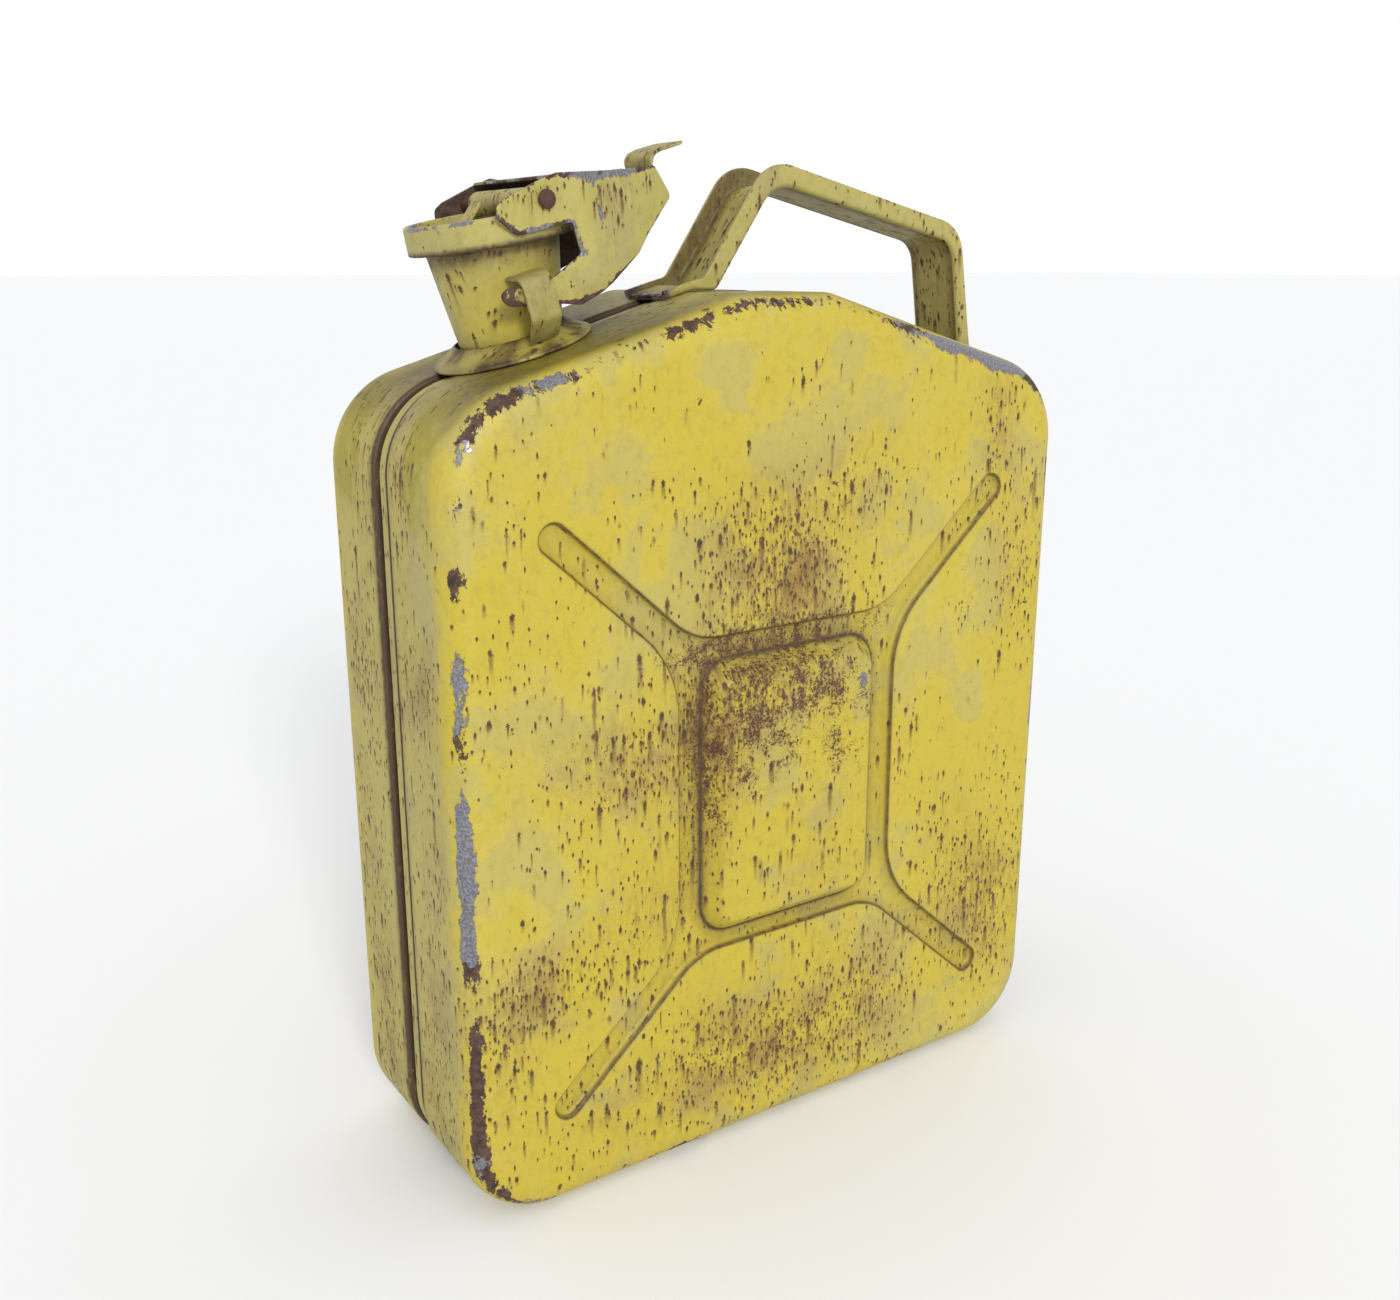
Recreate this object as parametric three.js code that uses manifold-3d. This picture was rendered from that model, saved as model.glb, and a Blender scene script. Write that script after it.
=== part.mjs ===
// Five litre pressed-steel fuel can with a tilted neck, a lever-clamped lid and a channel handle.
// Millimetres. +X runs along the can's width with the neck at -X, the front face looks along -Y,
// and +Z is up. The origin is on the floor under the middle of the can.

import * as THREE from 'three';
import { mergeVertices } from 'three/addons/utils/BufferGeometryUtils.js';
import Module from 'manifold-3d';

const wasm = await Module();
wasm.setup();

// ---------------------------------------------------------------- driving dimensions

const bodyWidth = 240;
const bodyDepth = 90;
const bodyHeight = 285;
const ridgeHalfWidth = 18;      // flat top between the two slopes
const slopeDrop = 30;           // height lost from the ridge to the side corner
const shoulderRadius = 30;
const footRadius = 28;
const ridgeRadius = 14;
const edgeRadius = 9.5;         // rounding between a face and the sides
const sheet = 1;                // wall of the two pressed shells
const lipDepth = 3.4;           // how far each shell's edge turns in beside the seam
const lipRound = 1.5;           // rounding where it turns in
const gap = 0.3;                // play between pieces that touch

const seamHalf = 5;             // half width of the sunk seam band
const seamDepth = 2.4;
const beadHalf = 2.6;           // raised bead along the middle of the band
const beadDepth = 1.2;
const beadRun = 0.5;            // width of the bead's sloping sides

const faceY = bodyDepth / 2;
const recessDepth = 3;
const recessWall = 1.4;         // run of the sunk panel's sloping wall
const arm = { x: 86.5, topZ: 218, footZ: 36, radius: 5, angle: THREE.MathUtils.degToRad(42) };
const hub = { halfWidth: 44.5, topZ: 181.5, footZ: 74, endFillet: 24, sideFillet: 36 };
const boss = { halfWidth: 35.4, halfHeight: 47.2, z: 126.6, rise: 7.5, slope: 4.4, radius: 11 };

const slopeAngle = Math.atan2(slopeDrop, bodyWidth / 2 - ridgeHalfWidth);
const neckTilt = THREE.MathUtils.degToRad(10.6);
const neckX = -74.5;
const neckZ = bodyHeight + (neckX + ridgeHalfWidth) * Math.tan(slopeAngle);
const neckFootRadius = 15.2;
const neckTopRadius = 20.2;
const neckHeight = 33.1;
const neckWall = 1;
const lipRadius = 22.3;
const collarRadius = 24.6;

const rim = { radius: 24.8, bottom: 31.7, top: 40.1, wall: 1.1 };
const discTop = 36.6;
const gasketTop = 35.3;
const pin = { u: 6, n: 42.2, radius: 2 };
const knuckle = { halfLength: 16, radius: 3.05, sheet: 1.2, end: 285 };   // the lid's hinge
const pinPlay = 0.15;           // the pin's holes are this much larger than it, all round
const rivetHole = 2.6;

const cheekInner = 25.2;        // half distance between the lever's cheeks beside the neck
const cheekThickness = 1.2;
const cheekFold = 19;           // behind this line the cheeks run together towards the thumb tab
const cheekTaper = 0.48;
const rearTrim = 5;             // the rear cheek's nose and finger are this much shorter
const leverSheet = 1.2;         // saddle and thumb tab

const handleHalfWidth = 12;
const handleSheet = 1.5;

// ---------------------------------------------------------------- materials

function paint(hex, roughness = 0.55, metalness = 0.1) {
  return new THREE.MeshStandardMaterial({ color: hex, roughness, metalness });
}

const yellowPaint = () => paint(0xe2cd4b);
const olivePaint = () => paint(0xbdb26e, 0.6);
const rustySteel = () => paint(0x6b4a38, 0.8, 0.4);
const blackRubber = () => paint(0x1d1c1a, 0.85, 0);

// ---------------------------------------------------------------- solids

function solidOf(geometry) {
  const plain = geometry.index ? geometry.toNonIndexed() : geometry.clone();
  plain.deleteAttribute('normal');
  plain.deleteAttribute('uv');
  const merged = mergeVertices(plain, 1e-4);
  return new wasm.Manifold(new wasm.Mesh({
    numProp: 3,
    vertProperties: new Float32Array(merged.attributes.position.array),
    triVerts: new Uint32Array(merged.index.array),
  }));
}

function geometryOf(solid) {
  const mesh = solid.getMesh();
  const geometry = new THREE.BufferGeometry();
  geometry.setAttribute('position', new THREE.BufferAttribute(mesh.vertProperties, 3));
  geometry.setIndex(new THREE.BufferAttribute(mesh.triVerts, 1));
  const flat = geometry.toNonIndexed();
  flat.computeVertexNormals();
  return flat;
}

// A closed body through rings of equally many points, with a flat cap on its first and last ring.
function loft(rings) {
  const count = rings[0].length;
  const points = rings.flat();
  const faces = [];
  for (let level = 0; level + 1 < rings.length; level += 1) {
    for (let i = 0; i < count; i += 1) {
      const a = level * count + i;
      const b = level * count + (i + 1) % count;
      faces.push([a, b, b + count], [a, b + count, a + count]);
    }
  }
  const flatRing = rings[0].map((p) => new THREE.Vector2(p.x, p.z));
  const last = (rings.length - 1) * count;
  for (const [a, b, c] of THREE.ShapeUtils.triangulateShape(flatRing, [])) {
    faces.push([a, c, b]);
    faces.push([last + a, last + b, last + c]);
  }
  return bodyFrom(points, faces);
}

// Triangles over a list of points, turned so that they face outwards.
function bodyFrom(points, faces) {
  const volume = faces.reduce((sum, [a, b, c]) => (
    sum + points[a].dot(new THREE.Vector3().crossVectors(points[b], points[c]))), 0);
  const turned = volume < 0 ? faces.map(([a, b, c]) => [a, c, b]) : faces;
  const geometry = new THREE.BufferGeometry();
  geometry.setAttribute('position', new THREE.Float32BufferAttribute(
    points.flatMap((p) => [p.x, p.y, p.z]), 3));
  geometry.setIndex(turned.flat());
  return geometry;
}

// A polygon with its corners rounded: corners are [x, z, radius], and a radius of 0 keeps one sharp.
function roundCorners(corners, stepAngle = 14) {
  const outline = [];
  corners.forEach(([x, z, radius], i) => {
    const here = new THREE.Vector2(x, z);
    if (!radius) {
      outline.push(here);
      return;
    }
    const [px, pz] = corners[(i + corners.length - 1) % corners.length];
    const [nx, nz] = corners[(i + 1) % corners.length];
    const back = new THREE.Vector2(px, pz).sub(here).normalize();
    const ahead = new THREE.Vector2(nx, nz).sub(here).normalize();
    const half = Math.acos(THREE.MathUtils.clamp(back.dot(ahead), -1, 1)) / 2;
    const centre = back.clone().add(ahead).normalize().multiplyScalar(radius / Math.sin(half)).add(here);
    const start = back.clone().multiplyScalar(radius / Math.tan(half)).add(here).sub(centre);
    const end = ahead.clone().multiplyScalar(radius / Math.tan(half)).add(here).sub(centre);
    const sweep = Math.atan2(start.cross(end), start.dot(end));
    const steps = Math.max(2, Math.round(Math.abs(THREE.MathUtils.radToDeg(sweep)) / stepAngle));
    for (let k = 0; k <= steps; k += 1) {
      outline.push(start.clone().rotateAround(new THREE.Vector2(), sweep * k / steps).add(centre));
    }
  });
  return outline;
}

// An anticlockwise outline moved inwards by a distance, point by point.
function inset(outline, distance) {
  return outline.map((p, i) => {
    const before = outline[(i + outline.length - 1) % outline.length];
    const after = outline[(i + 1) % outline.length];
    const a = p.clone().sub(before).normalize();
    const b = after.clone().sub(p).normalize();
    const inward = new THREE.Vector2(-a.y - b.y, a.x + b.x).normalize();
    const stretch = 1 / Math.sqrt((1 + a.dot(b)) / 2);
    return p.clone().addScaledVector(inward, distance * stretch);
  });
}

// Rings of an outline in planes of constant y: levels are [y, inset].
function lofted(outline, levels) {
  return loft(levels.map(([y, distance]) => (
    inset(outline, distance).map((p) => new THREE.Vector3(p.x, y, p.y)))));
}

// A flat plate: an outline in the X-Z plane, thick from y0 to y1.
function plate(outline, y0, y1, holes = []) {
  const shape = new THREE.Shape(outline);
  shape.holes = holes.map(([x, z, radius]) => {
    const hole = new THREE.Path();
    hole.absarc(x, z, radius, 0, Math.PI * 2, true);
    return hole;
  });
  const options = { depth: y1 - y0, bevelEnabled: false, curveSegments: 8 };
  const geometry = new THREE.ExtrudeGeometry(shape, options);
  geometry.rotateX(Math.PI / 2);
  geometry.translate(0, y1, 0);
  return geometry;
}

// A turned body about Z: the profile is [radius, height] and closes on itself.
function turned(profile, segments = 32) {
  const points = profile.map(([r, z]) => new THREE.Vector2(r, z));
  points.push(points[0].clone());
  const geometry = new THREE.LatheGeometry(points, segments);
  geometry.rotateX(Math.PI / 2);
  return geometry;
}

// ---------------------------------------------------------------- frames

const can = new THREE.Group();

// Lies on the left slope: its own +X follows the slope up, +Z leaves it square.
const slopeFrame = new THREE.Group();
slopeFrame.position.set(neckX, 0, neckZ);
slopeFrame.rotation.y = -slopeAngle;
can.add(slopeFrame);

// Follows the neck's axis, which leans a little less than the slope does.
const neckFrame = new THREE.Group();
neckFrame.position.set(neckX, 0, neckZ);
neckFrame.rotation.y = -neckTilt;
can.add(neckFrame);

for (const frame of [slopeFrame, neckFrame]) {
  frame.updateMatrix();
}

function addPiece(parent, name, geometry, material) {
  const flat = geometry.index ? geometry.toNonIndexed() : geometry;
  const mesh = new THREE.Mesh(flat, material);
  mesh.name = name;
  parent.add(mesh);
}

// A cone round the neck's axis that clears the neck tube by the usual gap, in the can's frame.
function neckClearance(bottom, top) {
  const radiusAt = (n) => neckFootRadius + (neckTopRadius - neckFootRadius) * n / neckHeight + gap;
  const profile = [[0, bottom], [radiusAt(bottom), bottom], [radiusAt(top), top], [0, top]];
  return turned(profile).applyMatrix4(neckFrame.matrix);
}

// ---------------------------------------------------------------- pressed shells and seam

const sideCornerZ = bodyHeight - slopeDrop;
const bodyOutline = roundCorners([
  [-bodyWidth / 2, 0, footRadius],
  [bodyWidth / 2, 0, footRadius],
  [bodyWidth / 2, sideCornerZ, shoulderRadius],
  [ridgeHalfWidth, bodyHeight, ridgeRadius],
  [-ridgeHalfWidth, bodyHeight, ridgeRadius],
  [-bodyWidth / 2, sideCornerZ, shoulderRadius],
]);

// Levels round a quarter circle: centre is [y, inset], and the levels run on towards -y.
function quarterRound([y, distance], radius, startAngle, steps = 4) {
  return Array.from({ length: steps + 1 }, (_, k) => {
    const angle = startAngle + Math.PI / 2 * k / steps;
    return [y + radius * Math.cos(angle), distance - radius * Math.sin(angle)];
  });
}

// Levels of the skin from the seam to the face; wall is how far inside the outer skin it lies.
function skinLevels(wall) {
  const seamY = -seamHalf - gap - wall;
  const lip = wall === 0
    ? quarterRound([seamY - lipRound, lipRound], lipRound, 0, 3)
    : [[0, lipDepth], [seamY, lipDepth], [seamY, lipRound + wall / 2], [seamY - lipRound, wall]];
  return [...lip, ...quarterRound([edgeRadius - faceY, edgeRadius], edgeRadius - wall, Math.PI / 2)];
}

// Corners of one arm of the sunk cross, anticlockwise: the signs sx and sz choose its quadrant.
function armCorners(sx, sz) {
  const { angle, radius } = arm;
  const hubZ = sz > 0 ? hub.topZ : hub.footZ;
  const outward = new THREE.Vector2(sx * Math.cos(angle), sz * Math.sin(angle));
  const across = new THREE.Vector2(-sx * Math.sin(angle), sz * Math.cos(angle));
  const tip = new THREE.Vector2(sx * arm.x, sz > 0 ? arm.topZ : arm.footZ).addScaledVector(outward, radius);
  const high = tip.clone().addScaledVector(across, radius);
  const low = tip.clone().addScaledVector(across, -radius);
  const hubX = high.x - outward.x * (high.y - hubZ) / outward.y;
  const sideZ = low.y - outward.y * (low.x - sx * hub.halfWidth) / outward.x;
  const tipRound = radius * 0.95;
  const corners = [
    [sx * hub.halfWidth, sideZ, hub.sideFillet],
    [low.x, low.y, tipRound],
    [high.x, high.y, tipRound],
    [hubX, hubZ, hub.endFillet],
  ];
  return sx * sz > 0 ? corners : corners.reverse();
}

const pressedStep = 22;         // coarser rounding for the pressed cross and boss
const crossOutline = roundCorners([
  ...armCorners(1, -1), ...armCorners(1, 1), ...armCorners(-1, 1), ...armCorners(-1, -1),
], pressedStep);

const bossOutline = roundCorners([[-1, -1], [1, -1], [1, 1], [-1, 1]].map(([sx, sz]) => (
  [sx * boss.halfWidth, boss.z + sz * boss.halfHeight, boss.radius])), pressedStep);

// The front half of the can's skin as a solid; wall is how far inside the outer skin it lies.
function frontHalf(wall) {
  const floorY = recessDepth + wall - faceY;
  const topY = floorY - boss.rise;
  const grown = -0.8 * wall;
  const skin = lofted(bodyOutline, skinLevels(wall));
  const recess = lofted(crossOutline, [
    [-faceY - 1, grown], [-faceY, grown], [floorY, recessWall + grown],
  ]);
  const shoulder = wall + boss.slope;
  const raised = lofted(bossOutline, [
    [floorY + gap, wall], [floorY, wall], [topY + 1.2, shoulder],
    [topY + 0.3, shoulder + 0.9], [topY, shoulder + 2.2],
  ]);
  return solidOf(skin).subtract(solidOf(recess)).add(solidOf(raised));
}

const neckHoleRadius = neckFootRadius + 0.9;
const neckHole = solidOf(turned([[0, -20], [neckHoleRadius, -20], [neckHoleRadius, 20], [0, 20]])
  .applyMatrix4(neckFrame.matrix));

const frontShell = frontHalf(0).subtract(frontHalf(sheet)).subtract(neckHole);
addPiece(can, 'front_shell', geometryOf(frontShell), yellowPaint());
addPiece(can, 'rear_shell', geometryOf(frontShell.mirror([0, 1, 0])), yellowPaint());

const bandSkin = solidOf(lofted(bodyOutline, [
  [-seamHalf, seamDepth], [-beadHalf, seamDepth], [-beadHalf + beadRun, beadDepth],
  [beadHalf - beadRun, beadDepth], [beadHalf, seamDepth], [seamHalf, seamDepth],
]));
const bandCore = solidOf(lofted(bodyOutline, [-1, 1].map((side) => (
  [side * (seamHalf + 1), seamDepth + sheet]))));
addPiece(can, 'seam_band', geometryOf(bandSkin.subtract(bandCore).subtract(neckHole)), olivePaint());

// ---------------------------------------------------------------- neck

const neckFootZ = -4;           // the tube reaches a little way into the tank
const footOuter = neckFootRadius - 0.6;
const mouthInner = neckTopRadius - neckWall;
const neckProfile = [
  [footOuter, neckFootZ], [neckTopRadius - 0.3, neckHeight - 2.2], [lipRadius - 0.4, neckHeight - 1.3],
  [lipRadius, neckHeight - 0.7], [lipRadius - 0.5, neckHeight], [mouthInner, neckHeight],
  [mouthInner - 0.5, neckHeight - 2], [footOuter - neckWall, neckFootZ],
];
addPiece(neckFrame, 'neck_tube', turned(neckProfile, 36), olivePaint());

const collarProfile = [
  [15, 0.3], [collarRadius - 0.3, 0.3], [collarRadius, 0.7], [collarRadius - 0.3, 1.3],
  [18.6, 4.6], [17.2, 5.4], [15, 5.6],
];
const neckPassage = solidOf(neckClearance(-12, 40));
const collar = solidOf(turned(collarProfile, 36).applyMatrix4(slopeFrame.matrix)).subtract(neckPassage);
addPiece(can, 'neck_collar', geometryOf(collar), olivePaint());

// A folded ear strap stands off the neck: its foot is on the collar, its head on the neck's side.
const strapHalfWidth = 4.9;
const strapSheet = 1.2;
const strapLine = [[17, 23], [27.5, 23], [27.5, 10.8], [22, 3.6]];

// Thickens an open line of [x, z] points into a closed outline.
function thicken(line, thickness) {
  const points = line.map(([x, z]) => new THREE.Vector2(x, z));
  const side = (sign) => points.map((p, i) => {
    const a = points[Math.max(i - 1, 0)];
    const b = points[Math.min(i + 1, points.length - 1)];
    const before = (i ? p.clone().sub(a) : b.clone().sub(p)).normalize();
    const after = (i + 1 < points.length ? b.clone().sub(p) : p.clone().sub(a)).normalize();
    const normal = new THREE.Vector2(-before.y - after.y, before.x + after.x).normalize();
    return p.clone().addScaledVector(normal, sign * thickness / 2 / Math.sqrt((1 + before.dot(after)) / 2));
  });
  return [...side(1), ...side(-1).reverse()];
}

function earStrap(sign) {
  const body = plate(thicken(strapLine, strapSheet), -strapHalfWidth, strapHalfWidth);
  body.rotateZ(sign * Math.PI / 2);
  return solidOf(body.applyMatrix4(slopeFrame.matrix)).subtract(neckPassage);
}

addPiece(can, 'ear_strap_front', geometryOf(earStrap(-1)), olivePaint());
addPiece(can, 'ear_strap_rear', geometryOf(earStrap(1)), olivePaint());

// The breather tube runs down inside the neck, held to its wall by a small clip.
const breather = { u: 9.8, radius: 2.8, bore: 2, top: 26, bottom: -38 };
const breatherTube = turned([
  [breather.bore, breather.bottom], [breather.radius, breather.bottom],
  [breather.radius, breather.top], [breather.bore, breather.top],
], 14);
breatherTube.translate(breather.u, 0, 0);
addPiece(neckFrame, 'breather_tube', breatherTube, rustySteel());

const clipLength = 3.2;
const clip = new THREE.BoxGeometry(clipLength, 2, 3);
clip.translate(breather.u + breather.radius + gap + clipLength / 2, 0, 19);
addPiece(neckFrame, 'breather_clip', clip, rustySteel());

// ---------------------------------------------------------------- handle

// Side view of the channel: its web lies along the inner line, its flanges reach the outer line.
const handleInner = [
  [101.2, 260.9, 0], [95.5, 300.6, 9], [15.8, 318.7, 11], [-7.1, 285.4, 3], [-16.6, 285.4, 6],
  [-27, 282.4, 0],
];
const handleOuter = [
  [-27.8, 285.2, 0], [-12.7, 289.4, 4], [12.8, 326.4, 14], [98.6, 306.4, 13], [106.8, 257.6, 0],
];
// The room between the flanges, from the web's top outwards.
const channelRoom = [
  [-40, 280.4, 0], [-17.6, 287, 6], [-8.1, 287.2, 4], [15.1, 320.6, 12], [96.8, 302, 10],
  [102.9, 252, 0], [130, 250, 0], [130, 320, 0], [40, 340, 0], [-40, 300, 0],
];
const roomHalf = handleHalfWidth - handleSheet;
const bar = plate(roundCorners([...handleInner, ...handleOuter]), -handleHalfWidth, handleHalfWidth);
const room = plate(roundCorners(channelRoom), -roomHalf, roomHalf);
addPiece(can, 'handle', geometryOf(solidOf(bar).subtract(solidOf(room))), olivePaint());

// ---------------------------------------------------------------- lid

const lid = new THREE.Group();
neckFrame.add(lid);

const rimInner = rim.radius - rim.wall;
const lidProfile = [
  [rivetHole, discTop - 1], [rimInner - 0.6, discTop - 1], [rimInner, discTop - 1.6],
  [rimInner, rim.bottom], [rim.radius, rim.bottom], [rim.radius, rim.top - 0.9],
  [rim.radius - 0.4, rim.top - 0.2], [rim.radius - 1.1, rim.top], [rim.radius - 1.8, rim.top - 0.4],
  [rim.radius - 2.2, discTop], [rivetHole, discTop],
];
addPiece(lid, 'lid_cap', turned(lidProfile, 48), olivePaint());

const gasketRadius = rimInner - gap - 0.1;
const gasketThickness = 1.8;
addPiece(lid, 'lid_gasket', turned([
  [rivetHole, gasketTop - gasketThickness], [gasketRadius, gasketTop - gasketThickness],
  [gasketRadius, gasketTop], [rivetHole, gasketTop],
], 36), blackRubber());

addPiece(lid, 'gasket_plate', turned([
  [rivetHole, 32.2], [16.6, 32.2], [17, 32.6], [17, 33.2], [rivetHole, 33.2],
], 28), rustySteel());

addPiece(lid, 'lid_rivet', turned([
  [0, 30.8], [3, 31], [4.2, 31.9], [2.3, 31.9], [2.3, 38.2], [4, 38.2], [3.2, 39.2], [0, 39.5],
], 14), rustySteel());

// Bracket on the lid: one strap that lies on the disc and curls over the cross pin as a hinge
// knuckle, and a bent tab in front that stops the raised lever.
const bracketZ = discTop + gap;
const bracketHalf = 10;
const strapZ = bracketZ + 0.5;
const strapEnd = pin.u + knuckle.radius;
const pinHole = [pin.u, pin.n, pin.radius + pinPlay];
const base = plate(roundCorners([
  [-9, bracketZ, 0], [strapEnd, bracketZ, 0], [strapEnd, bracketZ + 1, 0], [-9, bracketZ + 1, 0],
]), -bracketHalf, bracketHalf);
const knuckleLine = [[strapEnd, strapZ]];
for (let degrees = 0; degrees <= knuckle.end; degrees += 15) {
  const angle = THREE.MathUtils.degToRad(degrees);
  knuckleLine.push([
    pin.u + knuckle.radius * Math.cos(angle), pin.n + knuckle.radius * Math.sin(angle),
  ]);
}
const knuckleBody = plate(thicken(knuckleLine, knuckle.sheet), -knuckle.halfLength, knuckle.halfLength);
const stopTab = plate(thicken([[-8.4, strapZ], [-6.6, bracketZ + 2.4], [-2.4, 43.4]], 1.2), -3, 3);
const rivetRoom = turned([[0, 30], [rivetHole, 30], [rivetHole, 50], [0, 50]], 14);
const bracket = solidOf(base).add(solidOf(knuckleBody)).add(solidOf(stopTab))
  .subtract(solidOf(rivetRoom));
addPiece(lid, 'lid_bracket', geometryOf(bracket), olivePaint());

// ---------------------------------------------------------------- lever

const lever = new THREE.Group();
lid.add(lever);

// Side view of a cheek beside the neck, in anticlockwise stretches: nose, slot, finger and heel.
const nose = [
  [11, 48.6, 0], [5.8, 47.7, 3], [-6.7, 44.2, 2], [-9.4, 42.6, 2], [-9.9, 39.7, 2], [-4.6, 33.9, 3],
];
const slot = [[13.3, 34.8, 1], [14.4, 25.8, 1], [4.5, 21, 3]];
const finger = [[-11, 20.7, 2], [-13.2, 19.4, 1.5], [-12.9, 17.6, 1.5], [-11.1, 15.7, 3]];
const heel = [[5.8, 13.2, 4], [11.6, 11.7, 4], [cheekFold, 12.9, 0], [cheekFold, 47.7, 0]];
// The rest of it runs back to the thumb tab.
const cheekTail = [
  [cheekFold, 12.9, 0], [25, 15.5, 5], [39.7, 21.3, 5], [45.9, 26, 5], [60.8, 35.1, 2],
  [54.5, 45, 2], [38.7, 45.8, 5], [24.8, 47.1, 0], [cheekFold, 47.7, 0],
];

function cheek(sign, trim) {
  const trimmed = (corners) => corners.map(([u, n, radius]) => [u + trim, n, radius]);
  const outline = roundCorners([...trimmed(nose), ...slot, ...trimmed(finger), ...heel]);
  const front = plate(outline, cheekInner, cheekInner + cheekThickness, [pinHole]);
  const tail = plate(roundCorners(cheekTail), cheekInner, cheekInner + cheekThickness);
  const position = tail.attributes.position;
  for (let i = 0; i < position.count; i += 1) {
    position.setY(i, position.getY(i) - cheekTaper * (position.getX(i) - cheekFold));
  }
  const whole = solidOf(front).add(solidOf(tail));
  return sign > 0 ? whole : whole.mirror([0, 1, 0]);
}

addPiece(lever, 'lever_cheek_front', geometryOf(cheek(-1, 0)), olivePaint());
addPiece(lever, 'lever_cheek_rear', geometryOf(cheek(1, rearTrim)), olivePaint());

// A strip across the lever: stations are [u, n, half width], thick downwards from the line.
function ribbon(stations, thickness) {
  const line = stations.map(([u, n]) => [u, n]);
  const outline = thicken(line, thickness);
  const count = stations.length;
  const rings = stations.map(([, , half], i) => {
    const high = outline[i];
    const low = outline[2 * count - 1 - i];
    return [
      new THREE.Vector3(high.x, -half, high.y), new THREE.Vector3(high.x, half, high.y),
      new THREE.Vector3(low.x, half, low.y), new THREE.Vector3(low.x, -half, low.y),
    ];
  });
  const points = rings.flat();
  const faces = [];
  for (let i = 0; i + 1 < count; i += 1) {
    for (let k = 0; k < 4; k += 1) {
      const a = 4 * i + k;
      const b = 4 * i + (k + 1) % 4;
      faces.push([a, b, b + 4], [a, b + 4, a + 4]);
    }
  }
  const last = 4 * (count - 1);
  faces.push([0, 2, 1], [0, 3, 2], [last, last + 1, last + 2], [last, last + 2, last + 3]);
  return bodyFrom(points, faces);
}

// The saddle fills the room between the cheeks, and follows their taper.
const saddleHalf = (u) => cheekInner - gap * 1.5 - cheekTaper * Math.max(0, u - cheekFold);
const saddleLine = [[9.5, 47.8], [cheekFold, 47], [24.8, 46.4], [38.7, 45.1], [53.8, 44.3]];
const saddlePlate = ribbon(saddleLine.map(([u, n]) => [u, n, saddleHalf(u)]), leverSheet);

addPiece(lever, 'lever_saddle', geometryOf(solidOf(saddlePlate)), olivePaint());

const tabStations = [
  [54.5, 44.6, 7.6], [55, 47.2, 7.9], [56.4, 48.6, 7.9], [59, 49.2, 7.8], [68, 50.1, 7.2],
];
addPiece(lever, 'thumb_tab', ribbon(tabStations, leverSheet), olivePaint());

// Cross pin: a shank through the cheeks and the knuckle, with a domed head peened on each end.
const pinReach = cheekInner + cheekThickness + gap;
const shank = new THREE.CylinderGeometry(pin.radius, pin.radius, 2 * pinReach, 16);
shank.translate(pin.u, 0, pin.n);
addPiece(lever, 'pivot_pin', shank, rustySteel());

for (const [side, sign] of [['front', -1], ['rear', 1]]) {
  const head = turned([[0, 0], [3.1, 0], [2.9, 0.8], [1.8, 1.4], [0, 1.6]], 16);
  head.rotateX(-sign * Math.PI / 2);
  head.translate(pin.u, sign * (pinReach + gap), pin.n);
  addPiece(lever, `pin_head_${side}`, head, rustySteel());
}

export default can;
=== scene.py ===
"""Looks of the five litre fuel can: detailed pressed-sheet pieces in worn yellow and olive paint.

Shapes are worked out in millimetres in the can's own frame and turned into metres when a piece
is made. Every piece stands for one CAD node and rides on its body.
"""

import math

import bmesh
import bpy
import numpy as np
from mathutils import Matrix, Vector, noise
from mathutils.geometry import delaunay_2d_cdt


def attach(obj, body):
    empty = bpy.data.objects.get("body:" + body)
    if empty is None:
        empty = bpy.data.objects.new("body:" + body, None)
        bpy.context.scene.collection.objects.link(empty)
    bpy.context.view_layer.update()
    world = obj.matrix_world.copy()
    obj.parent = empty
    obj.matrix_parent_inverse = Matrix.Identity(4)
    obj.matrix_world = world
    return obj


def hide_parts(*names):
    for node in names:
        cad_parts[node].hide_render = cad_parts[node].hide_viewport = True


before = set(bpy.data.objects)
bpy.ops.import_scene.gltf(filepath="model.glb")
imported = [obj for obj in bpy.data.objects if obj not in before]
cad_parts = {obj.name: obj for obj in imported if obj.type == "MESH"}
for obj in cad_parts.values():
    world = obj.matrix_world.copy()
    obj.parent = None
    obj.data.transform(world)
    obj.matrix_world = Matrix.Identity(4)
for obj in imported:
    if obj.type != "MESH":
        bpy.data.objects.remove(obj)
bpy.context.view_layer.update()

MM = 0.001

# ---------------- sizes, as the CAD has them

BODY = dict(width=240, depth=90, height=285, ridge=18, drop=30, shoulder=30, foot=28, top=14, edge=9.5)
SHEET = 1.0
SEAM = dict(half=5.0, depth=2.4, bead=2.6, bead_depth=1.2, gap=0.3, lip=3.4, lip_round=1.5)
RECESS = dict(depth=2.3, wall=1.2)
ARM = dict(x=86.5, top=218, foot=36, radius=5, angle=math.radians(42))
HUB = dict(half=44.5, top=181.5, foot=74, end_fillet=24, side_fillet=36)
BOSS = dict(half=35.4, half_height=47.2, z=126.6, radius=11)
BOSS_RISE = [(0, 0), (4.4, 5.6), (5.3, 6.5), (6.6, 6.8)]    # inset from its outline, rise

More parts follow.
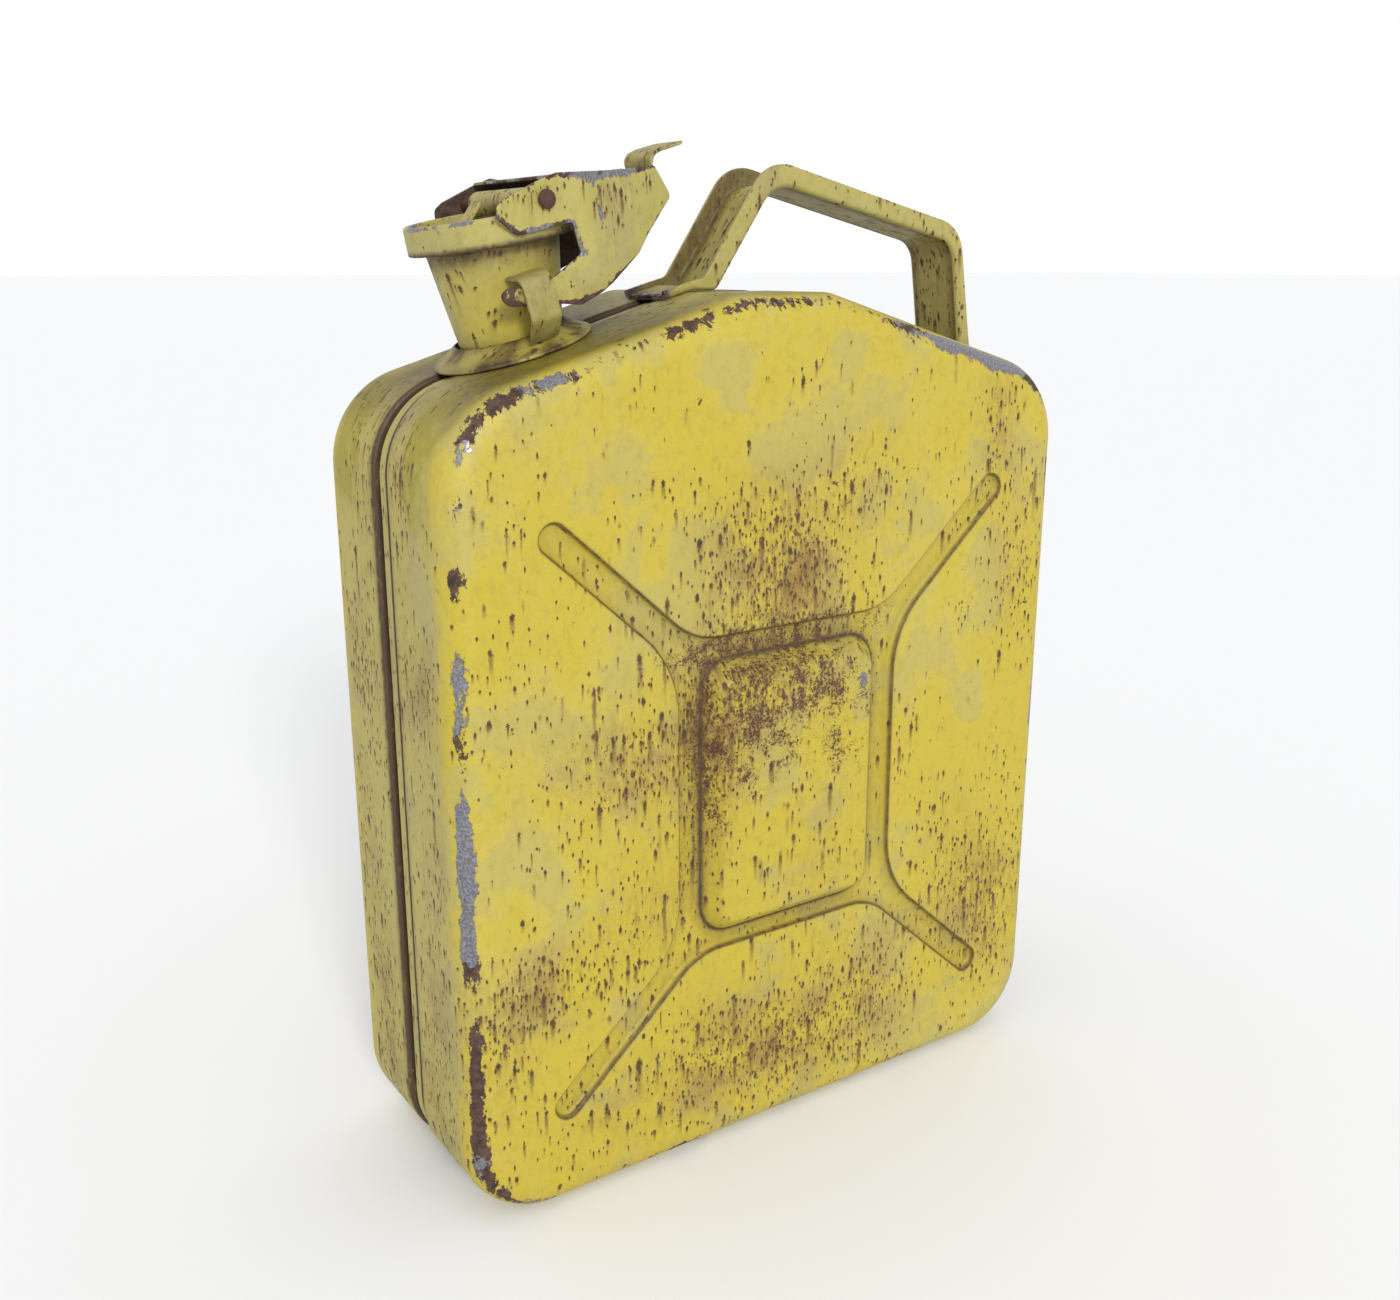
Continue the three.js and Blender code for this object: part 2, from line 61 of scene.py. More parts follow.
SLOPE_ANGLE = math.atan2(BODY["drop"], BODY["width"] / 2 - BODY["ridge"])
NECK_TILT = math.radians(10.6)
NECK_X = -74.5          # the neck's foot on the slope
NECK_Z = BODY["height"] + (NECK_X + BODY["ridge"]) * math.tan(SLOPE_ANGLE)
NECK_HOLE = 16.1        # radius of the hole under it
PIN = (6.0, 42.2)       # u and n of the lever's cross pin
CHEEK_INNER = 25.2      # from the middle to a cheek's inner side
CHEEK_SHEET = 1.2
CHEEK_FOLD = 19.0       # the u from which the cheeks draw together towards the tail
CHEEK_TAPER = 0.48      # how far they do so for each mm of u
HANDLE_HALF = 12.0
HANDLE_SHEET = 1.5


def columns(*values):
    """Points from their coordinates."""
    return np.stack(values, axis=1)


def at_y(points, y):
    """Flat points (x, z), standing at y."""
    return np.insert(points, 1, y, axis=1)


def tilted(angle):
    """A frame on the neck's foot: points (u, y, n) with u along the slope and n away from it."""
    cos, sin = math.cos(angle), math.sin(angle)

    def place(points):
        u, y, n = np.asarray(points, float).T
        return columns(NECK_X + u * cos - n * sin, y, NECK_Z + u * sin + n * cos)
    return place


def untilted(points, angle):
    """Undoes the frame: each point's u, height n and distance from the frame's axis."""
    x, y, z = points.T
    cos, sin = math.cos(angle), math.sin(angle)
    u = (x - NECK_X) * cos + (z - NECK_Z) * sin
    n = -(x - NECK_X) * sin + (z - NECK_Z) * cos
    return u, n, np.hypot(u, y)


in_neck = tilted(NECK_TILT)
in_slope = tilted(SLOPE_ANGLE)


# ---------------- lines and outlines

def smooth(value, low, high):
    """Soft step from 0 at low to 1 at high."""
    t = np.clip((np.asarray(value, float) - low) / (high - low), 0, 1)
    return t * t * (3 - 2 * t)


def bump(value, middle, reach):
    """Soft bump: 1 at its middle and fading away over its reach on both sides."""
    return np.exp(-0.5 * ((value - middle) / reach) ** 2)


def corner_arc(before, corner, after, step=0.8, steps=None):
    """Points of the arc that rounds a corner (x, z, radius), in steps of about that length."""
    here = np.array(corner[:2], float)
    radius = corner[2]
    back = np.array(before[:2], float) - here
    ahead = np.array(after[:2], float) - here
    back /= np.linalg.norm(back)
    ahead /= np.linalg.norm(ahead)
    half = math.acos(np.clip(back @ ahead, -1, 1)) / 2
    middle = (back + ahead) / np.linalg.norm(back + ahead)
    centre = here + middle * radius / math.sin(half)
    start = here + back * radius / math.tan(half) - centre
    end = here + ahead * radius / math.tan(half) - centre
    sweep = math.atan2(start[0] * end[1] - start[1] * end[0], start @ end)
    steps = steps or max(3, math.ceil(abs(sweep) * radius / step))
    turns = sweep * np.arange(steps + 1) / steps
    return [centre + [start[0] * math.cos(turn) - start[1] * math.sin(turn),
                      start[0] * math.sin(turn) + start[1] * math.cos(turn)] for turn in turns]


def round_corners(corners, step=0.8, closed=True):
    """Points of a line of corners (x, z, radius), with its corners rounded."""
    points = []
    last = len(corners) - 1
    for i, corner in enumerate(corners):
        if not corner[2] or (not closed and i in (0, last)):
            points.append(np.array(corner[:2], float))
        else:
            points += corner_arc(corners[i - 1], corner, corners[(i + 1) % len(corners)], step)
    return np.array(points)


def quarter_turn(steps):
    """Angles from 0 to a right angle."""
    return [math.pi / 2 * k / steps for k in range(steps + 1)]


def resample(points, step, closed=True):
    """The same line with its longer runs cut into steps."""
    points = np.asarray(points, float)
    out = []
    last = len(points) if closed else len(points) - 1
    for i in range(last):
        a, b = points[i], points[(i + 1) % len(points)]
        pieces = max(1, math.ceil(np.linalg.norm(b - a) / step))
        out += [a + (b - a) * k / pieces for k in range(pieces)]
    if not closed:
        out.append(points[-1])
    return np.array(out)


def bent(corners, arc_step, step, closed=False):
    """A line of corners (x, z, radius) with its corners rounded and its runs cut into steps."""
    return resample(round_corners(corners, arc_step, closed), step, closed)


def inward(outline):
    """Unit normals of an anticlockwise closed outline, pointing inside, stretched at corners."""
    a = outline - np.roll(outline, 1, 0)
    b = np.roll(outline, -1, 0) - outline
    a /= np.linalg.norm(a, axis=1, keepdims=True)
    b /= np.linalg.norm(b, axis=1, keepdims=True)
    total = a + b
    normal = columns(-total[:, 1], total[:, 0])
    normal /= np.linalg.norm(normal, axis=1, keepdims=True)
    stretch = 1 / np.sqrt(np.clip((1 + (a * b).sum(1)) / 2, 0.3, 1))
    return normal * stretch[:, None]


def depth_inside(points, outline):
    """Distance of each point from a closed outline, positive inside it."""
    points = np.asarray(points, float)
    a, b = outline, np.roll(outline, -1, 0)
    run = b - a
    length = (run * run).sum(1)
    result = np.empty(len(points))
    for start in range(0, len(points), 4000):
        p = points[start:start + 4000, None, :]
        t = np.clip(((p - a) * run).sum(2) / length, 0, 1)
        near = np.sqrt((((a + run * t[:, :, None]) - p) ** 2).sum(2)).min(1)
        above = (a[:, 1] > p[:, :, 1]) != (b[:, 1] > p[:, :, 1])
        rise = np.where(run[:, 1] == 0, 1, run[:, 1])
        cross = p[:, :, 0] < a[:, 0] + run[:, 0] * (p[:, :, 1] - a[:, 1]) / rise
        inside = (above & cross).sum(1) % 2 == 1
        result[start:start + 4000] = np.where(inside, near, -near)
    return result


def grid_inside(outline, step, margin):
    """Staggered grid points at least that far inside an outline."""
    low, high = outline.min(0), outline.max(0)
    rows = np.arange(low[1] + step / 2, high[1], step * 0.87)
    points = [(x + (k % 2) * step / 2, z)
              for k, z in enumerate(rows) for x in np.arange(low[0], high[0], step)]
    points = np.array(points)
    return points[depth_inside(points, outline) > margin]


def fill(outline, loose):
    """Triangles over the inside of a closed outline that also use the loose points."""
    count = len(outline)
    coords = [Vector(p) for p in outline] + [Vector(p) for p in loose]
    edges = [(i, (i + 1) % count) for i in range(count)]
    found = delaunay_2d_cdt(coords, edges, [], 1, 1e-7)
    return np.array([tuple(v) for v in found[0]]), [tuple(f) for f in found[2]]


# ---------------- meshes

class Sheets:
    """Points in millimetres and faces of one piece while it is being put together."""

    def __init__(self):
        self.points = np.zeros((0, 3))
        self.faces = []

    def add(self, points, faces):
        start = len(self.points)
        self.points = np.vstack([self.points, np.asarray(points, float)])
        self.faces += [tuple(i + start for i in face) for face in faces]
        return self

    def place(self, mapping):
        self.points = mapping(self.points)
        return self


def loft(rings, closed_ring=True, closed_path=False, caps=False):
    """Quads between rings of equally many points."""
    count = len(rings[0])
    levels = len(rings)
    faces = []
    for level in range(levels if closed_path else levels - 1):
        below = level * count
        above = (level + 1) % levels * count
        for i in range(count if closed_ring else count - 1):
            j = (i + 1) % count
            faces.append((below + i, below + j, above + j, above + i))
    if caps:
        faces.append(tuple(range(count))[::-1])
        faces.append(tuple((levels - 1) * count + i for i in range(count)))
    return np.vstack(rings), faces


def turned(profile, segments=72):
    """A body turned about n from a closed profile (radius, n, corner radius)."""
    radius, n = bent(profile, 0.25, 1.6, closed=True).T
    rings = []
    for k in range(segments):
        angle = 2 * math.pi * k / segments
        rings.append(columns(radius * math.cos(angle), radius * math.sin(angle), n))
    return Sheets().add(*loft(rings, closed_path=True))


def plate(outline, thickness, bevel=0.3, grid=2.6, support=(0.8, 1.8)):
    """A flat sheet piece in (u, n) with rounded edges, thick from y = 0 to y = thickness."""
    outline = resample(outline, 1.2)
    normal = inward(outline)
    turn = [(0, bevel), (bevel * 0.3, bevel * 0.3), (bevel, 0)]
    levels = turn + [(thickness - a, b) for a, b in reversed(turn)]
    rings = []
    for y, distance in levels:
        flat = outline + normal * distance
        rings.append(at_y(flat, y))
    made = Sheets().add(*loft(rings))
    face = outline + normal * bevel
    loose = [grid_inside(face, grid, support[-1] + 0.8)]
    for distance in support:
        near = outline + normal * distance
        loose.append(near[depth_inside(near, outline) > distance - 0.05])
    points, faces = fill(face, np.vstack(loose))
    made.add(at_y(points, 0), faces)
    made.add(at_y(points, thickness), faces)
    return made


def strip(line, halves, thickness, bevel=0.3):
    """A bent strip across y: a line of (u, n) points, its half widths and its thickness."""
    line = np.asarray(line, float)
    tangent = np.gradient(line, axis=0)
    tangent /= np.linalg.norm(tangent, axis=1, keepdims=True)
    normal = columns(-tangent[:, 1], tangent[:, 0])
    ends = np.array([bevel, bevel * 0.3] + [0] * (len(line) - 4) + [bevel * 0.3, bevel])
    rings = []
    for i in range(len(line)):
        half = halves[i] - ends[i]
        high = thickness / 2 - ends[i]
        cut = min(bevel, high * 0.8)
        across = np.array([half, half * 0.93, half * 0.6, 0, -half * 0.6, -half * 0.93, -half])
        top = [(s * (half - cut) / half, high) for s in across]
        side = [(-half + cut * 0.3, high - cut * 0.3), (-half, high - cut),
                (-half, -high + cut), (-half + cut * 0.3, -high + cut * 0.3)]
        ring = top + side
        ring += [(-y, -h) for y, h in ring]
        ring = np.array(ring)
        flat = line[i] + ring[:, 1:] * normal[i]
        rings.append(at_y(flat, ring[:, 0]))
    return Sheets().add(*loft(rings, caps=True))


# Layers of wear that every vertex carries, for the paint to use; one of them darkens the paint both for
# dirt and as painted shade in corners, grooves and under parts.
LAYERS = ("tone", "wear", "steel", "grime_and_shade", "rust", "red", "fresh")


def read(items, key, width=1, kind=float):
    """One property of all of a mesh's items as an array, a row for each item."""
    values = np.zeros(len(items) * width, kind)
    items.foreach_get(key, values)
    return values.reshape(-1, width) if width > 1 else values


def box_uv(mesh, shift):
    """Lays out the sheet pattern in millimetres, seen square to the axis that each face looks along."""
    layer = mesh.uv_layers.new(name="sheet")
    corner = read(mesh.loops, "vertex_index", kind=int)
    points = read(mesh.vertices, "co", 3)[corner] / MM
    totals = read(mesh.polygons, "loop_total", kind=int)
    normals = np.abs(np.repeat(read(mesh.polygons, "normal", 3), totals, axis=0))
    x, y, z = points.T
    faces_y = (normals[:, 1] >= np.maximum(normals[:, 0], normals[:, 2]) * 0.8)
    faces_x = ~faces_y & (normals[:, 0] >= normals[:, 2])
    u = np.where(faces_y, x, y + 400) + shift
    v = np.where(faces_y | faces_x, z, -np.abs(x) + 900) + shift
    layer.data.foreach_set("uv", columns(u, v).ravel())


def worn_edges(mesh, reach):
    """How near each vertex is to an outward edge of the sheet: 1 on the edge, 0 beyond reach."""
    points = read(mesh.vertices, "co", 3) / MM
    normals = read(mesh.vertices, "normal", 3)
    a, b = read(mesh.edges, "vertices", 2, int).T
    run = points[b] - points[a]
    length = np.maximum(np.linalg.norm(run, axis=1), 1e-6)
    turn_a = -(run * normals[a]).sum(1) / length
    turn_b = (run * normals[b]).sum(1) / length
    bend = np.zeros(len(points))
    np.maximum.at(bend, a, turn_a)
    np.maximum.at(bend, b, turn_b)
    edge = smooth(bend, 0.1, 0.3)
    for _ in range(5):
        spread = edge.copy()
        np.maximum.at(spread, a, edge[b] - length / reach)
        np.maximum.at(spread, b, edge[a] - length / reach)
        edge = spread
    return edge


def piece(name, made, body, slot, tone=1.0, wear=1.0, reach=2.0, masks=None, shift=0.0,
          thicken=0.0, crease=35):
    """Turns sheets into an object that rides on a body and stands for the CAD node of its name.

    masks(points) gives layers of wear, dirt and painted shade that are added to the plain ones.
    """
    mesh = bpy.data.meshes.new(name)
    mesh.from_pydata((made.points * MM).tolist(), [], made.faces)
    work = bmesh.new()
    work.from_mesh(mesh)
    bmesh.ops.remove_doubles(work, verts=work.verts, dist=2e-6)
    bmesh.ops.triangulate(work, faces=[f for f in work.faces if len(f.verts) > 4])
    bmesh.ops.recalc_face_normals(work, faces=work.faces)
    work.to_mesh(mesh)
    work.free()
    mesh.shade_smooth()
    made_object = bpy.data.objects.new(name, mesh)
    bpy.context.scene.collection.objects.link(made_object)
    if thicken:
        solid = made_object.modifiers.new("sheet", "SOLIDIFY")
        solid.thickness = thicken * MM
        solid.offset = -1
        apply_modifiers(made_object)
        mesh = made_object.data
    points = read(mesh.vertices, "co", 3) / MM
    none = np.zeros(len(points))
    layers = dict.fromkeys(LAYERS, none)
    layers.update(tone=none + tone, wear=worn_edges(mesh, reach) * wear, steel=none + 0.35)
    if masks:
        for key, values in masks(points).items():
            layers[key] = layers[key] + values
    for key, values in layers.items():
        layer = mesh.attributes.new(key, "FLOAT", "POINT")
        layer.data.foreach_set("value", np.clip(values, 0, 1.5).astype(np.float32))
    box_uv(mesh, shift)
    mesh.set_sharp_from_angle(angle=math.radians(crease))
    weighted = made_object.modifiers.new("flats", "WEIGHTED_NORMAL")
    weighted.keep_sharp = True
    apply_modifiers(made_object)
    mesh = made_object.data
    mesh.materials.append(MATERIALS[slot])
    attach(made_object, body)
    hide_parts(name)


def apply_modifiers(target):
    """Keeps the mesh as its modifiers make it."""
    bpy.context.view_layer.update()
    seen = target.evaluated_get(bpy.context.evaluated_depsgraph_get())
    kept = bpy.data.meshes.new_from_object(seen)
    target.modifiers.clear()
    target.data = kept


# ---------------- materials

def linear(red, green, blue):
    """Linear colour of a display colour given from 0 to 255."""
    def one(value):
        value /= 255
        return value / 12.92 if value <= 0.04045 else ((value + 0.055) / 1.055) ** 2.4
    return (one(red), one(green), one(blue), 1.0)


class Value:
    """A number, colour or vector that a material's nodes work out, used in sums like a plain one."""

    def __init__(self, graph, socket):
        self.graph = graph
        self.socket = socket

    def __add__(self, other):
        return self.graph.math("ADD", self, other)

    def __sub__(self, other):
        return self.graph.math("SUBTRACT", self, other)

    def __rsub__(self, other):
        return self.graph.math("SUBTRACT", other, self)

    def __mul__(self, other):
        return self.graph.math("MULTIPLY", self, other)

    def __truediv__(self, other):
        return self.graph.math("DIVIDE", self, other)

    __radd__ = __add__
    __rmul__ = __mul__


class Graph:
    """A material's nodes, written as expressions."""

    def __init__(self, name):
        self.material = bpy.data.materials.new(name)
        self.material.use_nodes = True
        self.tree = self.material.node_tree
        self.tree.nodes.clear()

    def node(self, kind, inputs=(), **settings):
        made = self.tree.nodes.new(kind)
        for key, value in settings.items():
            setattr(made, key, value)
        for key, value in dict(inputs).items():
            if isinstance(value, Value):
                self.tree.links.new(value.socket, made.inputs[key])
            else:
                made.inputs[key].default_value = value
        return made

    def value(self, output, kind, inputs=(), **settings):
        """What one output of a new node gives."""
        return Value(self, self.node(kind, inputs, **settings).outputs[output])

    def math(self, operation, *values):
        return self.value(0, "ShaderNodeMath", enumerate(values), operation=operation)

    def larger(self, a, b):
        return self.math("MAXIMUM", a, b)

    def squared(self, a):
        return self.math("POWER", a, 2.0)

    def ramp(self, value, low, high):
        """Soft step of a value: 0 at low, 1 at high."""
        return self.value("Result", "ShaderNodeMapRange", {
            "Value": value, "From Min": low, "From Max": high}, interpolation_type="SMOOTHSTEP")

    def mix(self, factor, a, b):
        """Blend of two colours."""
        return self.value(2, "ShaderNodeMix", {0: factor, 6: a, 7: b}, data_type="RGBA")

    def blend(self, factor, a, b):
        """Blend of two plain values."""
        return self.value(0, "ShaderNodeMix", {0: factor, 2: a, 3: b})

    def layer(self, name):
        return self.value("Fac", "ShaderNodeAttribute", attribute_name=name)

    def scaled(self, vector, scale, shift=(0, 0, 0)):
        return self.value("Vector", "ShaderNodeMapping", {
            "Vector": vector, "Scale": scale, "Location": shift})

    def place(self, shift=(0, 0, 0)):
        """Where the point lies on its piece, in millimetres."""
        where = self.value("Object", "ShaderNodeTexCoord")
        return self.scaled(where, (1 / MM, 1 / MM, 1 / MM), shift)

    def noise(self, vector, scale, detail=3.0, rough=0.55, distortion=0.0):
        return self.value("Fac", "ShaderNodeTexNoise", {
            "Vector": vector, "Scale": scale, "Detail": detail, "Roughness": rough,
            "Distortion": distortion}, noise_dimensions="3D")

    def random(self, output, *place):
        """A random Value or Color for each place of whole numbers."""
        vector = self.value(0, "ShaderNodeCombineXYZ", enumerate(place))
        return self.value(output, "ShaderNodeTexWhiteNoise", {"Vector": vector}, noise_dimensions="3D")

    def parts(self, vector):
        return [Value(self, part) for part in self.node("ShaderNodeSeparateXYZ", {0: vector}).outputs]

    def finish(self, colour, rough, metallic=0.0, relief=None, strength=0.0, **more):
        """Ends in a surface of that colour and roughness, with a relief in millimetres if given."""
        inputs = {"Base Color": colour, "Roughness": rough, "Metallic": metallic, **more}
        if relief is not None:
            inputs["Normal"] = self.value("Normal", "ShaderNodeBump", {
                "Strength": strength, "Distance": MM, "Height": relief})
        surface = self.value(0, "ShaderNodeBsdfPrincipled", inputs)
        self.node("ShaderNodeOutputMaterial", {"Surface": surface})
        return self.material


# Rust pits with drips, in four sizes: width and height of a cell of the sheet that holds one at most,
# half the pit's width, all in mm, and a seed.
DRIPS = [(1.6, 5.2, 0.32, 3.0), (2.8, 11.0, 0.5, 11.0), (5.2, 19.0, 0.66, 29.0), (12.0, 34.0, 0.85, 47.0)]


def drips(g, sheet, wobble, ragged, density, width, height, head, seed):
    """Masks of the rust pits of one size and of the streaks that run down from them."""
    u, v = g.parts(sheet)[0:2]
    column_at = (u + wobble * 1.3) / width + seed
    column = g.math("FLOOR", column_at)
    row_at = v / height + g.random("Value", column, seed) * 7.3
    row = g.math("FLOOR", row_at)
    chance = g.parts(g.random("Color", column, row, seed))
    more = g.parts(g.random("Color", row, column, seed + 0.5))
    centre = 0.2 + chance[0] * 0.6
    across = g.math("ABSOLUTE", (g.math("FRACT", column_at) - centre) * width) + ragged * head
    top = 0.5 + chance[1] * 0.42
    down = (top - g.math("FRACT", row_at)) * height
    present = g.ramp(density - chance[2], 0.0, 0.12)
    size = (0.45 + more[0] * 0.75) * head
    tall = (down - size * 0.8) * (0.3 + more[2] * 0.3)
    far = g.math("SQRT", g.squared(across) + g.squared(tall))
    pit = g.ramp(far / size, 1.2, 0.6) * present
    run = (0.4 + g.squared(more[1]) * 0.6) * top * height
    along = down / g.larger(run, 0.5)
    fade = g.ramp(along, 1.0, 0.1) * g.ramp(down, -0.2, 0.1)
    slim = 0.16 + size * (1.3 - along * 0.5)
    return pit, g.ramp(across / slim, 1.15, 0.3) * fade * present


# Paint colours: fresh, pale, deep and hazed over.
YELLOW = (linear(180, 161, 40), linear(182, 167, 74), linear(158, 136, 40), linear(160, 150, 84))
KHAKI = (linear(164, 155, 84), linear(172, 163, 98), linear(138, 124, 62), linear(150, 143, 92))
SHELTERED = linear(150, 138, 14)


def worn_paint(name, seed):
    """Old paint on pressed steel: faded, streaked with rust from pits, and chipped at its edges."""
    g = Graph(name)
    sheet = g.value("UV", "ShaderNodeUVMap", uv_map="sheet")
    where = g.place((seed * 31.0, seed * 17.0, seed * 23.0))
    tone, wear, steel, grime_and_shade, rust, red, sheltered = [g.layer(key) for key in LAYERS]
    broad = g.noise(where, 0.011, 4, 0.6)
    medium = g.noise(where, 0.045, 5, 0.62)
    fine = g.noise(where, 0.35, 5, 0.65)
    tiny = g.noise(where, 1.3, 3, 0.6)
    combed = g.noise(g.scaled(sheet, (0.5, 0.12, 1)), 1.0, 5, 0.7)
    wobble = g.noise(g.scaled(sheet, (0.35, 0.16, 1)), 1.0, 2, 0.5)
    streaky = g.noise(g.scaled(sheet, (0.55, 0.16, 1)), 1.0, 5, 0.7)

    fresh, pale, deep, haze = [g.mix(tone, yellow, khaki) for yellow, khaki in zip(YELLOW, KHAKI)]
    colour = g.mix(g.ramp(broad + (medium - 0.5) * 0.7, 0.4, 0.72), fresh, pale)
    colour = g.mix(g.ramp(medium + (broad - 0.5) * 0.6, 0.52, 0.6) * 0.5, colour, haze)
    colour = g.mix(g.ramp(combed, 0.52, 0.72) * 0.45, colour, deep)
    colour = g.mix(g.ramp(fine, 0.5, 0.66) * 0.35, colour, deep)
    colour = g.mix(g.ramp(tiny, 0.45, 0.7) * 0.3, colour, haze)
    colour = g.mix(sheltered * g.ramp(medium + combed * 0.3, 0.45, 0.75), colour, SHELTERED)

    # Brown haze round rusted places, and dark brown where the vertices ask for it: dirt, and painted shade
    # in corners, grooves and under parts.
    soiled = rust * g.ramp(medium + streaky * 0.9, 0.7, 1.2)
    colour = g.mix(soiled * 0.9, colour, linear(134, 106, 46))
    colour = g.mix(grime_and_shade * (0.15 + (fine * 0.75 + streaky)), colour, linear(66, 48, 26))

    # Pits and the streaks below them.
    density = 0.13 + rust * 0.85 + (g.noise(where, 0.028, 3, 0.6) - 0.5) * 1.1
    pits = streaks = 0.0
    for size in DRIPS:
        pit, streak = drips(g, sheet, wobble, (tiny - 0.5) * 2.2, density, *size)
        pits, streaks = g.larger(pits, pit), g.larger(streaks, streak)
    streaks = g.math("MINIMUM", streaks * (0.75 + fine * 0.7), 1.0)
    colour = g.mix(streaks * 0.85, colour, linear(104, 82, 32))
    dots = g.ramp(g.noise(g.scaled(where, (1, 1, 0.5)), 0.8, 5, 0.7) + rust * 0.07, 0.66, 0.7)
    pits = g.larger(pits, dots * g.ramp(rust, 0.1, 0.6))
    colour = g.mix(pits, colour, g.mix(g.ramp(fine, 0.4, 0.6), linear(62, 46, 22), linear(88, 60, 30)))

    # Red-brown speckle where the primer shows through.
    grains = g.noise(where, 1.25, 5, 0.85) + (g.noise(where, 0.17, 4, 0.65) - 0.5) * 0.7
    speckle = g.ramp(grains + red * 0.1, 0.6, 0.66) * g.ramp(red, 0.04, 0.3)
    primer = g.mix(g.ramp(tiny, 0.4, 0.65), linear(72, 38, 28), linear(96, 64, 32))
    colour = g.mix(speckle, colour, primer)

    # Chips: rust at their border, bare steel in their middle where steel is high.
    ragged = g.noise(g.scaled(where, (1, 1, 0.6)), 0.34, 8, 0.75, 0.3)
    loss = wear + (ragged - 0.5) * 2.3
    stray = g.ramp(g.noise(where, 0.13, 6, 0.7) + (broad - 0.5) * 0.12, 0.7, 0.715)
    chip = g.larger(g.ramp(loss, 0.86, 0.9), stray)
    core = g.larger(g.ramp(loss, 0.87, 0.93), stray * 0.5)
    metal = core * g.ramp(steel + (g.noise(where, 0.2, 5, 0.7) - 0.5) * 2.0, 0.4, 0.5)
    border = g.mix(0.45, colour, linear(150, 120, 84))
    rusty = g.mix(g.ramp(fine, 0.38, 0.62), linear(52, 35, 28), linear(84, 60, 47))
    bluish = g.mix(g.ramp(tiny, 0.35, 0.7), linear(110, 108, 116), linear(150, 150, 156))
    colour = g.mix(g.ramp(loss, 0.78, 0.9) * 0.5, colour, border)
    colour = g.mix(metal, g.mix(chip, colour, rusty), bluish)

    rough = 0.4 + fine * 0.22 + g.larger(streaks, soiled) * 0.2
    rough = g.blend(metal, g.blend(chip, rough, 0.82), 0.36)
    relief = fine * 0.035 - chip * 0.09 - g.larger(pits, speckle) * 0.07 + tiny * 0.012 + medium * 0.25
    return g.finish(colour, rough, metal * 0.75, relief, 0.75)


def rusty_steel(name):
    """Bare steel gone brown, with darker pits and a little shine where it is rubbed."""
    g = Graph(name)
    where = g.place()
    medium = g.noise(where, 0.12, 5, 0.65)
    fine = g.noise(where, 0.7, 5, 0.7)
    colour = g.mix(g.ramp(medium, 0.35, 0.65), linear(54, 33, 25), linear(76, 48, 33))
    colour = g.mix(g.ramp(fine, 0.5, 0.7), colour, linear(40, 26, 20))
    rubbed = g.ramp(g.layer("wear") * 0.5 + fine * 0.5, 0.66, 0.8)
    colour = g.mix(rubbed, colour, linear(112, 90, 78))
    return g.finish(colour, 0.62 + fine * 0.3 - rubbed * 0.3, rubbed * 0.7, (fine + medium) * 0.12, 0.8)


def rubber(name):
    """Black rubber with a dusty, slightly grained skin."""
    g = Graph(name)
    where = g.place()
    fine = g.noise(where, 1.1, 4, 0.6)
    dust = g.ramp(g.noise(where, 0.1, 4, 0.6), 0.45, 0.75)
    colour = g.mix(dust * 0.5, linear(28, 27, 26), linear(70, 66, 58))
    return g.finish(colour, 0.6 + fine * 0.3, 0.0, fine * 0.08, 0.5)


MATERIALS = dict(
    yellow_paint=worn_paint("yellow_paint", 1.0), olive_paint=worn_paint("olive_paint", 5.0),
    bare_steel=rusty_steel("bare_steel"), black_rubber=rubber("black_rubber"))

# ---------------- where the can is worn

# Rust on the front face: x, z, reach across, reach down, amount.
FRONT_RUST = [
    (-1, 200, 16, 16, 1.0), (-16, 212, 14, 12, 0.7), (-34, 150, 11, 14, 0.75), (-70, 148, 18, 12, 0.6),
    (-58, 140, 9, 9, 0.5), (-95, 79, 15, 10, 0.9), (-110, 61, 8, 16, 0.6), (-53, 92, 13, 16, 0.5),
    (-30, 36, 17, 13, 0.95), (3, 32, 14, 12, 0.8), (37, 34, 16, 15, 0.8), (94, 69, 17, 12, 0.8),
    (96, 41, 12, 14, 0.8), (89, 240, 6, 20, 0.7), (103, 190, 9, 20, 0.5), (26, 226, 14, 12, 0.5),
    (-8, 170, 22, 16, 0.75), (-33, 138, 5, 26, 0.85), (62, 60, 18, 8, 0.35), (-20, 20, 50, 10, 0.3),
    (12, 90, 14, 30, 0.35), (75, 90, 12, 14, 0.35), (-75, 30, 12, 12, 0.25),
]
# Red-brown primer showing: the same five numbers.
FRONT_RED = [
    (-16, 164, 10, 9, 1.0), (-6, 156, 14, 10, 0.8), (10, 158, 14, 8, 0.6), (-28, 178, 16, 5, 0.7),
    (6, 178, 24, 4.5, 0.75), (-22, 145, 8, 14, 0.6), (20, 140, 12, 14, 0.35), (-33, 146, 3, 18, 0.9),
    (-2, 34, 8, 6, 0.4), (-40, 120, 5, 24, 0.3),
]
